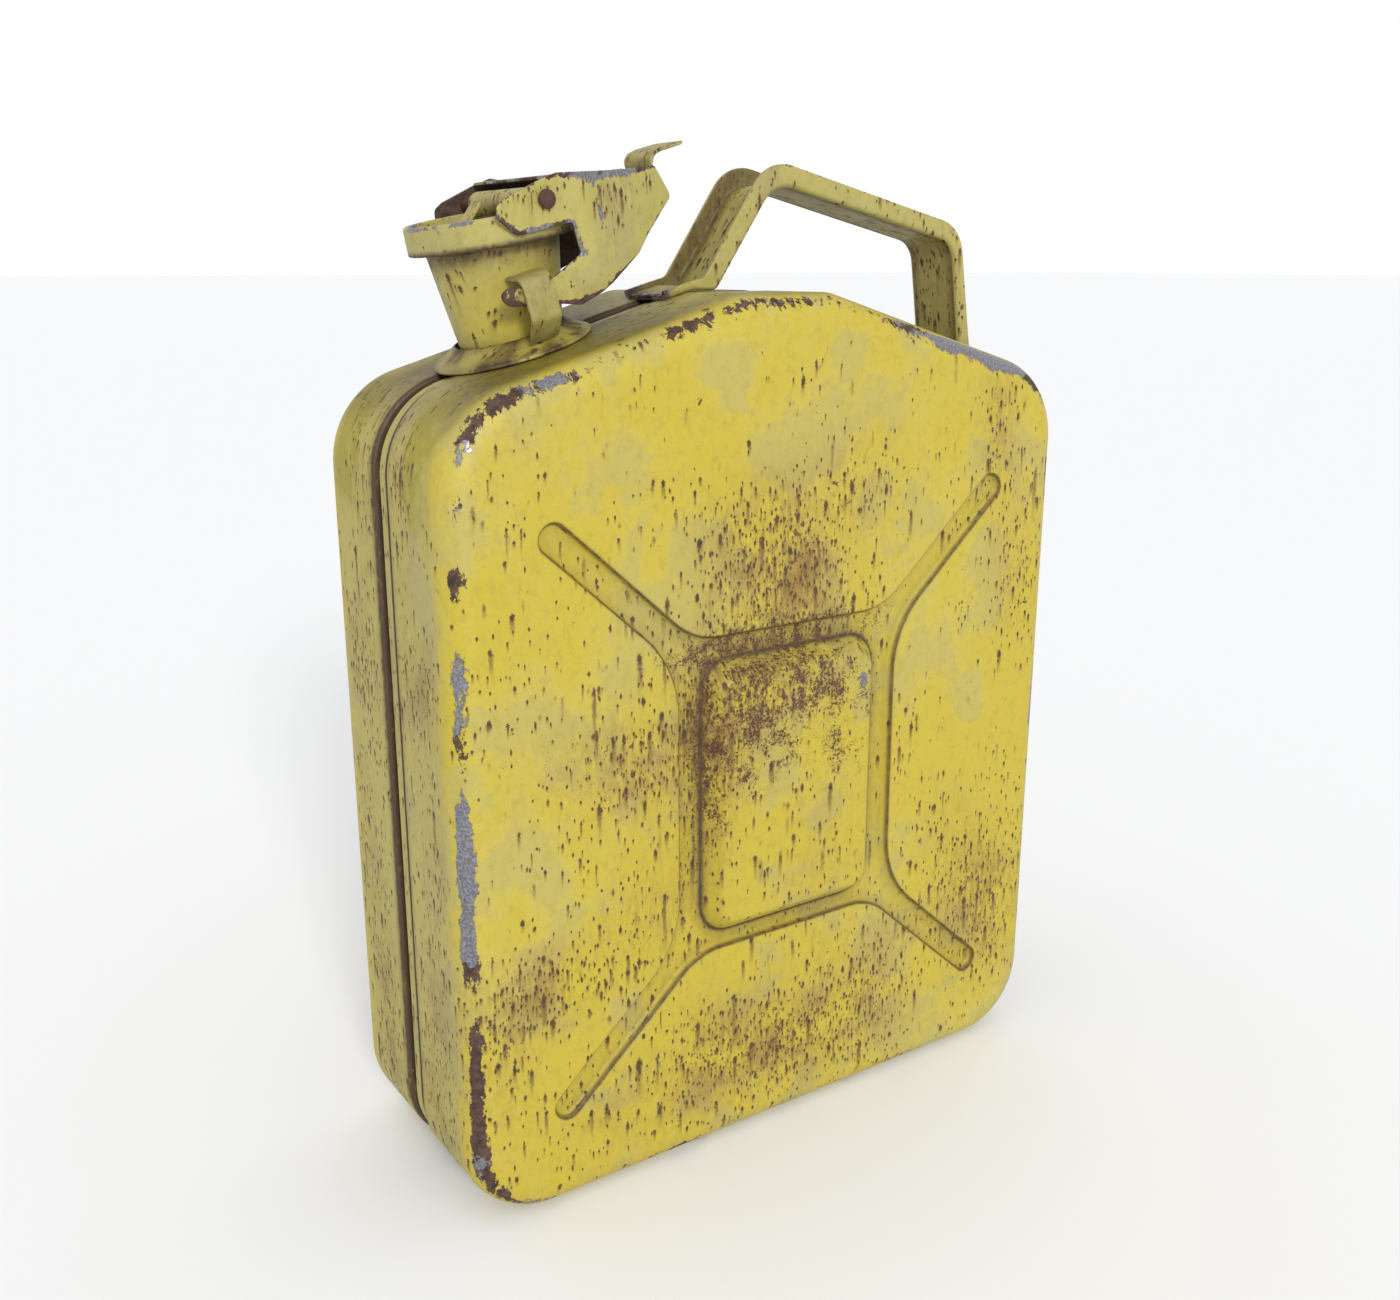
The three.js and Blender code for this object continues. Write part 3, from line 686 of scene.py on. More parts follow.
# Chipped stretches of the rounded edge: x, z, reach across, reach down, wear, steel.
EDGE_CHIPS = [
    (-108, 250, 4, 4, 0.5, -0.1), (-99, 256, 5, 3, 0.55, 0.0), (-84, 261.5, 11, 3, 0.55, 0.5),
    (-111, 241, 3, 5, 0.85, 1.2), (-114, 229, 3, 5, 0.8, 0.3), (-116, 211, 3, 3, 0.7, -0.2),
    (-116, 206, 3, 5, 0.5, 0.0), (-116, 182, 3, 6, 1.0, 1.0), (-117, 170, 3, 5, 0.5, 0.8),
    (-117, 160, 3, 5, 0.6, -0.2), (-118, 140, 3, 7, 0.85, 1.0), (-118, 122, 4, 11, 1.1, 1.2),
    (-118, 100, 3, 6, 0.8, 0.8), (-117, 92, 3, 6, 0.7, -0.2), (-116, 70, 3, 7, 0.8, -0.3),
    (-117, 54, 3, 7, 0.75, -0.3), (-117, 38, 4, 8, 0.95, -0.4), (-115, 27, 4, 5, 0.8, 0.6),
    (-111, 15, 6, 6, 0.8, -0.2), (-98, 5, 9, 5, 0.6, 0.4), (-45, 5, 16, 4, 0.75, 0.1),
    (5, 6, 6, 5, 0.75, 0.6), (50, 4, 12, 3, 0.6, 0.2), (66, 267, 15, 3, 0.85, 1.0),
    (90, 260, 12, 4, 1.0, 1.2), (106, 250, 6, 5, 0.7, -0.2), (44, 274, 8, 3, 0.5, 0.2),
    (114, 142, 4, 12, 0.9, 0.9), (115, 124, 4, 8, 0.6, 0.9), (113, 200, 4, 14, 0.5, 0.0),
    (115, 60, 5, 14, 0.55, 0.5), (112, 18, 6, 8, 0.75, 0.6), (0, 284, 26, 3, 0.4, 0.2),
    (-40, 276, 22, 4, 0.4, -0.1),
]
# Small bare patches away from the edges: the same six numbers.
FACE_CHIPS = [
    (66, 140, 1.8, 1.3, 0.9, 0.9), (74, 131, 1.6, 1.4, 0.9, 1.0), (46, 207, 1.4, 2, 0.85, 0.9),
    (51, 235, 1.6, 1.2, 0.85, 0.7), (-76, 251, 1.6, 1.6, 0.8, 0.4), (-90, 116, 1.6, 2.4, 0.8, 0.1),
    (-88, 108, 1.4, 2.2, 0.8, 0.1), (5, 168, 4, 1.6, 0.75, 1.0), (25, 158, 4, 3, 0.7, 0.9),
    (-30, 112, 1.4, 10, 0.5, 0.9), (-30.5, 152, 1.2, 7, 0.7, 0.3), (30, 60, 1.2, 1.6, 0.75, 0.6),
    (14, 168.5, 5, 0.8, 0.6, 1.0), (27, 160, 1.6, 3, 0.6, 0.9),
]


def spots(points, places, entry=4):
    """Sum of soft round places (across, up, reach across, reach up, amounts...) at the points."""
    across, up = points.T
    return sum(place[entry] * bump(across, place[0], place[2]) * bump(up, place[1], place[3])
               for place in places)


def grown_noise(points, scale, seed):
    """Smooth noise from -1 to 1 at points in millimetres."""
    shift = Vector((seed * 13.7, seed * 5.1, seed * 9.3))
    return np.array([noise.noise(Vector(p) * scale + shift) for p in points])


# ---------------- shells and seam

side_z = BODY["height"] - BODY["drop"]
half_width = BODY["width"] / 2
body_outline = bent([
    (-half_width, 0, BODY["foot"]), (half_width, 0, BODY["foot"]),
    (half_width, side_z, BODY["shoulder"]), (BODY["ridge"], BODY["height"], BODY["top"]),
    (-BODY["ridge"], BODY["height"], BODY["top"]), (-half_width, side_z, BODY["shoulder"]),
], 2.4, 2.6, closed=True)
body_inward = inward(body_outline)


def arm_corners(sx, sz):
    """Corners of one arm of the sunk cross, anticlockwise; the signs choose its quadrant."""
    angle, radius = ARM["angle"], ARM["radius"]
    hub_z = HUB["top"] if sz > 0 else HUB["foot"]
    outward = np.array([sx * math.cos(angle), sz * math.sin(angle)])
    across = np.array([-sx * math.sin(angle), sz * math.cos(angle)])
    tip = np.array([sx * ARM["x"], ARM["top"] if sz > 0 else ARM["foot"]]) + outward * radius
    high, low = tip + across * radius, tip - across * radius
    hub_x = high[0] - outward[0] * (high[1] - hub_z) / outward[1]
    side = low[1] - outward[1] * (low[0] - sx * HUB["half"]) / outward[0]
    corners = [
        (sx * HUB["half"], side, HUB["side_fillet"]), (low[0], low[1], radius * 0.95),
        (high[0], high[1], radius * 0.95), (hub_x, hub_z, HUB["end_fillet"])]
    return corners if sx * sz > 0 else corners[::-1]


cross_outline = bent(
    arm_corners(1, -1) + arm_corners(1, 1) + arm_corners(-1, 1) + arm_corners(-1, -1),
    1.2, 1.8, closed=True)
boss_outline = bent([
    (sx * BOSS["half"], BOSS["z"] + sz * BOSS["half_height"], BOSS["radius"])
    for sx, sz in ((-1, -1), (1, -1), (1, 1), (-1, 1))], 1.2, 1.8, closed=True)


def face_depth(points):
    """How far the pressed face stands back from the can's front plane at points (x, z), in mm."""
    sunk = depth_inside(points, cross_outline)
    inside = depth_inside(points, boss_outline)
    recess = np.zeros(len(points))
    rise = np.zeros(len(points))
    blur = np.linspace(-0.5, 0.5, 7)
    insets, rises = zip(*BOSS_RISE)
    for shift in blur:
        recess += np.interp(sunk + shift * 0.7, (0, RECESS["wall"]), (0, RECESS["depth"])) / len(blur)
        rise += np.interp(inside + shift, insets, rises) / len(blur)
    rise = np.minimum(rise, BOSS_RISE[-1][1])
    return recess - rise


def cut_neck_hole(points, faces):
    """Leaves out the faces inside the neck's hole and draws its rim to a true circle."""
    cos, sin = math.cos(NECK_TILT), math.sin(NECK_TILT)
    u, n, radius = untilted(points, NECK_TILT)
    inside = (np.abs(n) < 25) & (radius < NECK_HOLE)
    kept = [f for f in faces if not any(inside[i] for i in f)]
    gone = [f for f in faces if any(inside[i] for i in f)]
    rim = {i for f in gone for i in f if not inside[i]} & {i for f in kept for i in f}
    moved = points.copy()
    for i in rim:
        pull = NECK_HOLE / radius[i] - 1
        moved[i] += (u[i] * cos * pull, points[i, 1] * pull, u[i] * sin * pull)
    return moved, kept


def body_wall(section):
    """A wall round the tank with the neck's hole, from a section of points (y, inset)."""
    rings = [at_y(body_outline + body_inward * inset, y) for y, inset in section]
    return Sheets().add(*cut_neck_hole(*loft(rings)))


def shell(side):
    """One pressed half of the tank; side is -1 for the front and 1 for the rear."""
    edge, face_y = BODY["edge"], BODY["depth"] / 2
    lip_y = SEAM["half"] + SEAM["gap"]
    lip_round = SEAM["lip_round"]
    side_start, side_end = lip_y + lip_round, face_y - edge
    lip_steps, side_steps, edge_steps = 5, 12, 12
    levels = [(lip_y, SEAM["lip"]), (lip_y, (SEAM["lip"] + lip_round) / 2)]
    for turn in quarter_turn(lip_steps):
        levels.append((lip_y + lip_round * (1 - math.cos(turn)), lip_round * (1 - math.sin(turn))))
    for k in range(1, side_steps):
        levels.append((side_start + (side_end - side_start) * k / side_steps, 0))
    for turn in quarter_turn(edge_steps):
        levels.append((side_end + edge * math.sin(turn), edge * (1 - math.cos(turn))))
    made = body_wall([(side * y, inset) for y, inset in levels])
    flat_outline = body_outline + body_inward * edge
    rows = [(cross_outline, (-1.6, -0.8, -0.3, 0.1, 0.5, 0.9, 1.3, 1.8, 2.6)),
            (boss_outline, (-1.4, -0.6, 0, 0.5, 1.1, 2.4, 3.6, 4.2, 4.8, 5.4, 6.0, 6.6, 7.3, 8.4))]
    grid = grid_inside(flat_outline, 2.6, 1.4)
    lines = []
    for outline, distances in rows:
        away = depth_inside(grid, outline)
        grid = grid[(away < distances[0] - 1.0) | (away > distances[-1] + 1.0)]
        for distance in distances:
            line = outline + inward(outline) * distance
            lines.append(line[np.abs(depth_inside(line, outline) - distance) < 0.25])
    points, faces = fill(flat_outline, np.vstack([grid] + lines))
    away = depth_inside(points, flat_outline)
    apart = at_y(points, side * 60)
    dents = grown_noise(apart, 0.022, 2 + side) + 0.5 * grown_noise(apart, 0.06, 5 + side)
    slack = 0.35 * np.clip(dents + 0.35, 0, 1) * smooth(away, 0, 16)
    slack *= 1 - smooth(depth_inside(points, boss_outline), -6, 2)
    depth = face_depth(points) + slack
    made.add(at_y(points, side * (face_y - depth)), faces)
    return made


def shell_masks(side):
    """Wear, dirt and painted shade of a shell. The rear's patterns are the front's turned round, so that
    they differ.
    """
    def masks(points):
        x, y, z = points.T
        flat = columns(x if side < 0 else -x * 0.93 + 6, z if side < 0 else 272 - z)
        from_face = BODY["depth"] / 2 - np.abs(y)
        on_face = smooth(from_face, 14, 7)
        front = columns(x, z)
        around = depth_inside(front, body_outline)
        rounding = smooth(around, 9.5, 2.5) * smooth(from_face, 12, 3)
        ring = bump(from_face, 2.8, 2.2) * smooth(around, 12, 6)
        chips = spots(flat, EDGE_CHIPS)
        crest = smooth(z, 236, 256) * 0.34
        wear = ring * (0.26 + crest + chips * 0.85) + rounding * chips * 0.2
        wear += spots(flat, FACE_CHIPS) * on_face
        steel = spots(flat, EDGE_CHIPS, 5) * np.maximum(ring, rounding) - 0.2
        steel += spots(flat, FACE_CHIPS, 5) * on_face

        # The sunk cross gets a dark line along its edge and a faint darker band just inside it, partly dirt
        # and partly painted shade of the recess; the boss gets a line of painted shade at its foot, and the
        # cross's floor is browner than the face.
        cross = depth_inside(front, cross_outline)
        boss = depth_inside(front, boss_outline)
        line = bump(cross, 0.25, 0.3) * 1.2
        shade = smooth(cross, 0.3, 1.2) * (1 - smooth(cross, 1.2, 6)) * 0.16
        foot = bump(boss, 0.1, 0.5) * 0.9 + bump(boss, -1.2, 1.6) * 0.28
        grime_and_shade = np.maximum(line * 0.8, shade) * (boss < 1) + foot
        grime_and_shade *= smooth(from_face, 14, 9)
        # Painted shade on the lips where the shell turns into the seam's groove, partly dirt.
        seam = smooth(np.abs(y), 7.6, 5.4)
        top_line = np.interp(np.abs(x), (0, 18, 120), (285, 285, 255))
        upper = smooth(z, top_line - 11, top_line - 3) * smooth(from_face, 3, 9)
        ragged = grown_noise(points, 0.035, 21 + side)
        dust = upper * (0.34 + 0.5 * ragged) + 0.3 * upper * smooth(np.abs(x + 74), 42, 24)
        grime_and_shade = np.maximum(grime_and_shade, np.maximum(seam * 1.1, dust))
        floor = smooth(cross, 0.5, 3) * (boss < 0) * on_face * 0.6

        # Sides are dustier than the face, and browner near the seam.
        sides = 1 - on_face
        side_rust = spots(columns(np.abs(y), z), [
            (26, 175, 8, 10, 0.7), (22, 70, 8, 26, 0.55), (12, 176, 5, 30, 0.35), (16, 28, 9, 20, 0.4),
            (30, 120, 7, 20, 0.35), (14, 235, 8, 14, 0.35)]) * (np.abs(x) > 60)
        rust = spots(flat, FRONT_RUST) * on_face + sides * (0.04 + side_rust) + floor * 0.22
        red = np.minimum(spots(flat, FRONT_RED), 1) * on_face
        tone = 0.62 * sides * smooth(around, 14, 6)
        fresh = smooth(x, -90, -104) * smooth(z, 216, 230) * smooth(np.abs(y), 14, 20) * sides * 1.4
        fresh += upper * smooth(np.abs(x + 60), 42, 26) * smooth(np.abs(y), 12, 20)
        lips = smooth(np.abs(y), 7.4, 6.2) * 0.42
        wear += lips
        steel += lips * (0.8 * grown_noise(points, 0.05, 31) + 0.2)
        return dict(wear=wear, steel=steel, grime_and_shade=grime_and_shade, rust=rust, red=red, tone=tone, fresh=fresh)
    return masks


for shell_name, shell_side in (("front_shell", -1), ("rear_shell", 1)):
    piece(shell_name, shell(shell_side), "can", "yellow_paint", tone=0.0, wear=0.0,
          masks=shell_masks(shell_side), shift=shell_side * 53.0, thicken=SHEET, crease=60)


def seam_band():
    """The sunk band between the shells, with its raised bead."""
    half, depth = SEAM["half"], SEAM["depth"]
    bead, bead_depth = SEAM["bead"], SEAM["bead_depth"]
    section = round_corners([
        (-half, depth, 0), (-bead - 0.1, depth, 0.5), (-bead + 0.5, bead_depth, 0.6),
        (bead - 0.5, bead_depth, 0.6), (bead + 0.1, depth, 0.5), (half, depth, 0)], 0.25, closed=False)
    return body_wall(section)


def seam_masks(points):
    across = np.abs(points[:, 1])
    ragged = grown_noise(points, 0.07, 3) * 0.3
    # Darker in the grooves beside the bead: painted shade of the grooves, partly dirt.
    grime_and_shade = np.maximum(smooth(across, 1.7, 2.5) * 1.5, 0.5 * ragged)
    return dict(grime_and_shade=grime_and_shade, rust=0.15 + ragged, wear=ragged, steel=np.full(len(points), -0.25))


piece("seam_band", seam_band(), "can", "olive_paint", tone=0.85, wear=0.2,
      masks=seam_masks, shift=11.0, thicken=SHEET, crease=70)

# ---------------- neck


def neck_masks(points):
    n = untilted(points, NECK_TILT)[1]
    ragged = grown_noise(points * (1, 1, 0.35), 0.16, 4)
    # Darker just under the lid (painted shadow of the lid) and at the foot by the collar (painted shade,
    # partly dirt).
    grime_and_shade = smooth(n, 24, 33) * (0.75 + 0.5 * ragged) + smooth(n, 9, 3) * (0.35 + 0.3 * ragged)
    return dict(grime_and_shade=np.clip(grime_and_shade, 0, 1), rust=0.08 + 0.5 * smooth(n, 20, 31),
                tone=-0.45 * smooth(n, 34, 8))


neck = turned([
    (14.6, -4, 0.3), (19.9, 30.9, 0.5), (21.9, 31.8, 0.5), (22.3, 32.4, 0.25), (21.8, 33.1, 0.3),
    (19.2, 33.1, 0.3), (18.7, 31.1, 0.5), (13.6, -4, 0.3)], 96)
piece("neck_tube", neck.place(in_neck), "can", "olive_paint", tone=0.75, wear=0.5,
      masks=neck_masks, shift=71.0)


def collar_masks(points):
    r = untilted(points, SLOPE_ANGLE)[2]
    ragged = grown_noise(points, 0.12, 6)
    grime_and_shade = 0.22 + smooth(ragged, 0.0, 0.3) * 0.45
    # Darker at the outer edge on the slope and round the tube: painted shade in these corners, partly dirt.
    grime_and_shade += smooth(r, 22.5, 24.5) * (0.3 + 0.6 * ragged) + smooth(r, 19.5, 16.5) * 0.4
    return dict(grime_and_shade=np.clip(grime_and_shade, 0, 1), rust=0.25 + 0.4 * ragged, wear=0.15 + 0.25 * ragged)


# The collar's inside follows the tube's wall a little way off, which leans less than the slope.
collar = turned([
    (15.9, 0.3, 0.1), (24.3, 0.3, 0.2), (24.6, 0.7, 0.2), (24.3, 1.3, 0.35), (18.6, 4.6, 2.5),
    (17.4, 5.4, 0.4), (16.6, 5.6, 0.2)], 96)
piece("neck_collar", collar.place(in_slope), "can", "olive_paint", tone=0.55,
      wear=0.8, masks=collar_masks, shift=83.0)

# Folded ear straps: from the neck's side out, down past the lever's finger and in to the collar.
strap_line = bent([(17.6, 23, 0), (27.5, 23, 3.2), (27.5, 10.8, 3.4), (22.4, 4.4, 0)], 0.5, 1.2)


def strap_masks(points):
    ragged = grown_noise(points, 0.2, 8)
    n = untilted(points, SLOPE_ANGLE)[1]
    # Darker towards its foot on the collar: painted shade, partly dirt.
    grime_and_shade = 0.24 + smooth(n, 8, 4) * 0.3 + 0.2 * ragged
    return dict(rust=0.1 + 0.3 * ragged, grime_and_shade=grime_and_shade, wear=0.1 * ragged)


for strap_name, strap_side in (("ear_strap_front", -1), ("ear_strap_rear", 1)):
    strap = strip(strap_line, np.full(len(strap_line), 4.9), 1.2)
    strap.place(lambda p, s=strap_side: in_slope(columns(p[:, 1], s * p[:, 0], p[:, 2])))
    piece(strap_name, strap, "can", "olive_paint", tone=0.95, wear=0.75, reach=1.3,
          masks=strap_masks, shift=97.0 + strap_side)

breather = turned([(2, -38, 0.2), (2.8, -38, 0.3), (2.8, 26, 0.3), (2, 26, 0.2)], 28)
breather.points[:, 0] += 9.8
piece("breather_tube", breather.place(in_neck), "can", "bare_steel")

clip_line = [(12.9, 19), (13.1, 19), (13.6, 19.2), (14.3, 18.8), (15.3, 19.2), (15.8, 19), (16.1, 19)]
clip = strip(clip_line, np.full(len(clip_line), 1.0), 0.9, 0.15)
piece("breather_clip", clip.place(in_neck), "can", "bare_steel")

# ---------------- handle


def handle_line(corners):
    """Points of a bent line with a fixed number in each bend and run, so that two lines pair up."""
    arc_steps = 9
    runs = (11, 20, 11, 3, 3)
    groups = [[np.array(corners[0][:2], float)]]
    for before, corner, after in zip(corners, corners[1:], corners[2:]):
        groups.append(corner_arc(before, corner, after, steps=arc_steps))
    groups.append([np.array(corners[-1][:2], float)])
    line = []
    for group, following, run in zip(groups, groups[1:], runs):
        a, b = group[-1], following[0]
        line += group + [a + (b - a) * k / run for k in range(1, run)]
    return np.array(line + groups[-1])


inner_line = handle_line([
    (101.2, 260.9, 0), (95.5, 300.6, 9), (15.8, 318.7, 11), (-7.1, 285.4, 3), (-16.6, 285.4, 6),
    (-27, 282.4, 0)])
outer_line = handle_line([
    (106.8, 257.6, 0), (98.6, 306.4, 13), (12.8, 326.4, 14), (-12.3, 289.4, 4), (-17.4, 288.15, 8),
    (-27.8, 285.2, 0)])


def channel_section(height):
    """Closed outline of the U channel across the handle: points (y, height above its web)."""
    wide, narrow, wall = HANDLE_HALF, HANDLE_HALF - HANDLE_SHEET, HANDLE_SHEET
    bend = 1.9
    outside = [(-wide, height - 0.35), (-wide, height * 0.5 + bend * 0.5), (-wide, bend)]
    for turn in quarter_turn(5)[1:-1]:
        outside.append((-wide + bend * (1 - math.cos(turn)), bend * (1 - math.sin(turn))))
    outside += [(-wide + bend, 0), (-wide * 0.5, 0), (0, 0)]
    outside += [(-y, h) for y, h in outside[-2::-1]]
    inside = [(narrow, height - 0.35), (narrow, height * 0.5 + wall * 0.5), (narrow, wall + 0.8)]
    inside += [(narrow - 0.25, wall + 0.25), (narrow - 0.9, wall), (narrow * 0.5, wall), (0, wall)]
    inside += [(-y, h) for y, h in inside[-2::-1]]
    lip = 0.35
    rim_right = [(wide - 0.1, height - 0.1), (wide - lip, height), (narrow + lip, height),
                 (narrow + 0.1, height - 0.1)]
    rim_left = [(-y, h) for y, h in reversed(rim_right)]
    return np.array(outside + rim_right + inside + rim_left)


def handle():
    rings = []
    for low, high in zip(inner_line, outer_line):
        tall = np.linalg.norm(high - low)
        up = (high - low) / tall
        section = channel_section(max(tall, 2.4))
        flat = low + section[:, 1:] * up
        rings.append(at_y(flat, section[:, 0]))
    return Sheets().add(*loft(rings, caps=True))


def handle_masks(points):
    x, y, z = points.T
    ragged = grown_noise(points, 0.1, 9)
    inside = (np.abs(y) < HANDLE_HALF - HANDLE_SHEET + 0.1)
    # Painted shade on the inside of the channel next to its walls, partly dirt.
    corner = bump(np.abs(y), 10.2, 0.9) * inside
    under = inside * smooth(-ragged, 0.25, 0.6)
    foot = smooth(x, -22, -27.5) + smooth(z, 268, 262) * (x > 90)
    wear = foot * 0.65 + 0.25 * np.abs(ragged) * (np.abs(y) > 9)
    return dict(grime_and_shade=np.clip(corner * 0.7 + foot * 0.5, 0, 1), rust=0.25 + 0.3 * ragged + 0.25 * inside,
                wear=wear + under * 0.25, steel=under * 0.9)


piece("handle", handle(), "can", "olive_paint", tone=1.0, wear=0.72, reach=1.6,
      masks=handle_masks, shift=113.0, crease=50)

# ---------------- lid


def lid_masks(points):
    n, r = untilted(points, NECK_TILT)[1:]
    ragged = grown_noise(points, 0.14, 12)
    top = smooth(n, 37.6, 39.4) * smooth(r, 21.5, 23)
    foot = smooth(n, 33.8, 32.0) * smooth(r, 23.5, 24.4)
    disc = smooth(n, 37.4, 36.7) * (n > 35.9) * (r < 23)
    # The rim's lower edge is darkened, rust and painted shade under the lid; the disc inside the rim is
    # darkened too, dirt and painted shade of the recess under the lever.
    grime_and_shade = foot * (1.0 + 0.4 * ragged) + disc * (0.5 + 0.5 * ragged)
    return dict(grime_and_shade=np.clip(grime_and_shade, 0, 1), wear=top * (0.72 + 0.9 * ragged) + foot * 0.4,
                steel=top * 0.9 - foot * 0.4, rust=0.05 + 0.4 * foot + 0.5 * disc)


cap = turned([
    (2.6, 35.6, 0), (23.1, 35.6, 0.5), (23.7, 35, 0), (23.7, 31.7, 0.3), (24.8, 31.7, 0.4),
    (24.8, 39.2, 0.4), (24.4, 39.9, 0.4), (23.7, 40.1, 0.4), (23.0, 39.7, 0.4), (22.6, 36.6, 0.9),
    (2.6, 36.6, 0)], 120)
piece("lid_cap", cap.place(in_neck), "lid", "olive_paint", tone=0.9, wear=0.4,
      masks=lid_masks, shift=131.0)

gasket = turned([(2.6, 33.5, 0.2), (23.3, 33.5, 0.6), (23.3, 35.3, 0.6), (2.6, 35.3, 0.2)], 72)
piece("lid_gasket", gasket.place(in_neck), "lid", "black_rubber")
washer = turned([(2.6, 32.2, 0.2), (17, 32.2, 0.35), (17, 33.2, 0.35), (2.6, 33.2, 0.2)], 72)
piece("gasket_plate", washer.place(in_neck), "lid", "bare_steel")
rivet = turned([
    (0, 30.8, 0), (3, 31, 0.6), (4.2, 31.9, 0.3), (2.3, 31.9, 0.1), (2.3, 38.2, 0.1),
    (4, 38.2, 0.3), (3.2, 39.2, 0.6), (0, 39.5, 0)], 36)
piece("lid_rivet", rivet.place(in_neck), "lid", "bare_steel")


def bracket():
    """A strap on the disc that curls over the pin as a knuckle, and the tab that stops the lever."""
    made = Sheets()
    base_outline = [(-9, -10), (9.6, -10), (9.6, 10), (-9, 10)]
    base = plate(round_corners([(u, y, 1.5) for u, y in base_outline], 0.5), 1.0, 0.25)
    base.points = base.points[:, [0, 2, 1]] + (0, 0, 36.9)
    made.add(base.points, base.faces)
    radius, reach = 3.05, 16.0
    line = [(PIN[0] + radius, 37.4), (PIN[0] + radius, 39.8)]
    for degrees in range(0, 286, 9):
        angle = math.radians(degrees)
        line.append((PIN[0] + radius * math.cos(angle), PIN[1] + radius * math.sin(angle)))
    knuckle = strip(line, np.full(len(line), reach), CHEEK_SHEET, 0.25)
    made.add(knuckle.points, knuckle.faces)
    tab = bent([(-8.4, 37.4, 0), (-6.6, 39.3, 2), (-2.4, 43.4, 0)], 0.4, 0.9)
    stop = strip(tab, np.full(len(tab), 3.0), 1.2)
    return made.add(stop.points, stop.faces).place(in_neck)


def bracket_masks(points):
    n = untilted(points, NECK_TILT)[1]
    ragged = grown_noise(points, 0.2, 14)
    # Darker towards the disc: painted shade under the lever, partly dirt.
    return dict(grime_and_shade=smooth(n, 39.5, 37.2) * 0.6, rust=0.3 + 0.3 * ragged, wear=0.1 + 0.2 * ragged)


piece("lid_bracket", bracket(), "lid", "olive_paint", tone=0.9, wear=0.7, reach=1.2,
      masks=bracket_masks, shift=151.0)

# ---------------- lever

nose = [(11, 48.6, 0), (5.8, 47.7, 3), (-6.7, 44.2, 2), (-9.4, 42.6, 2), (-9.9, 39.7, 2), (-4.6, 33.9, 3)]
slot = [(13.3, 34.8, 1), (14.4, 25.8, 1), (4.5, 21, 3)]
finger = [(-11, 20.7, 2), (-13.2, 19.4, 1.5), (-12.9, 17.6, 1.5), (-11.1, 15.7, 3)]
heel = [(5.8, 13.2, 4), (11.6, 11.7, 4), (25, 15.5, 5), (39.7, 21.3, 5), (45.9, 26, 5),
        (60.8, 35.1, 2), (54.5, 45, 2), (38.7, 45.8, 5), (24.8, 47.1, 0), (19, 47.7, 0)]


def cheek(side, trim):
    """One side plate of the lever; trim shortens its nose and finger."""
    outline = [(u + trim, n, r) for u, n, r in nose] + slot
    outline += [(u + trim, n, r) for u, n, r in finger] + heel
    made = plate(round_corners(outline, 0.6), CHEEK_SHEET, 0.32, grid=2.4)
    past = made.points[:, 0] - CHEEK_FOLD
    eased = np.where(np.abs(past) < 2, (past + 2) ** 2 / 8, np.maximum(past, 0))
    made.points[:, 1] = side * (CHEEK_INNER + made.points[:, 1] - CHEEK_TAPER * eased)
    return made.place(in_neck)


def cheek_masks(points):
    """Wear of a cheek: chipped top, rust round its slot and heel, a rubbed patch in its middle."""
    u, n, _ = untilted(points, NECK_TILT)
    flat = columns(u, n)
    chips = spots(flat, [
        (17, 46.8, 7, 1.8, 0.65), (30, 45, 9, 1.8, 0.65), (44, 44.8, 8, 1.6, 0.6),
        (25, 34.5, 2.8, 2.2, 0.9), (24, 30.5, 0.9, 1.2, 0.8), (16.5, 26.5, 1.8, 4, 0.75),
        (-6, 38, 4, 3, 0.6), (-9, 18, 5, 2.4, 0.75), (12, 13, 9, 1.6, 0.85), (34, 17.5, 12, 1.4, 0.6),
        (6, 35.2, 9, 1.2, 0.6), (48, 26, 6, 1.6, 0.4), (24, 40, 1.2, 4, 0.7)])
    rust = spots(flat, [
        (4, 45, 4, 2, 0.7), (-2, 40, 3, 5, 0.5), (6, 42, 4.5, 5, 0.4), (28, 38, 5, 6, 0.6),
        (14, 13, 10, 3, 0.9), (-8, 18, 7, 3, 0.8), (40, 42, 8, 4, 0.5)])
    steel = spots(flat, [
        (38, 44.5, 5, 3, 0.6), (22, 46, 5, 3, 0.3), (25, 33, 4, 4, 1.0), (17, 28, 3, 5, 0.8),
        (14, 12, 12, 3, -0.6), (-8, 18, 7, 4, -0.5)])
    slope = CHEEK_INNER - CHEEK_TAPER * np.maximum(u - CHEEK_FOLD, 0)
    inner = smooth(np.abs(points[:, 1]) - slope, 0.45, 0.2)
    return dict(wear=chips * (1 - inner) + inner * 1.2, rust=rust * 0.8, steel=steel - inner * 1.5)


for cheek_name, cheek_side, cheek_trim in (("lever_cheek_front", -1, 0), ("lever_cheek_rear", 1, 5)):
    piece(cheek_name, cheek(cheek_side, cheek_trim), "lever", "olive_paint", tone=0.85,
          wear=0.8, reach=1.9, masks=cheek_masks, shift=171.0 + cheek_side * 9)


def saddle():
    """Top plate between the cheeks."""
    line = bent([(9.5, 47.8, 0), (19, 47, 8), (24.8, 46.4, 8), (38.7, 45.1, 10), (53.8, 44.3, 0)], 1.5, 1.5)
    halves = CHEEK_INNER - 0.45 - CHEEK_TAPER * np.maximum(0, line[:, 0] - CHEEK_FOLD)
    return strip(line, halves, CHEEK_SHEET).place(in_neck)


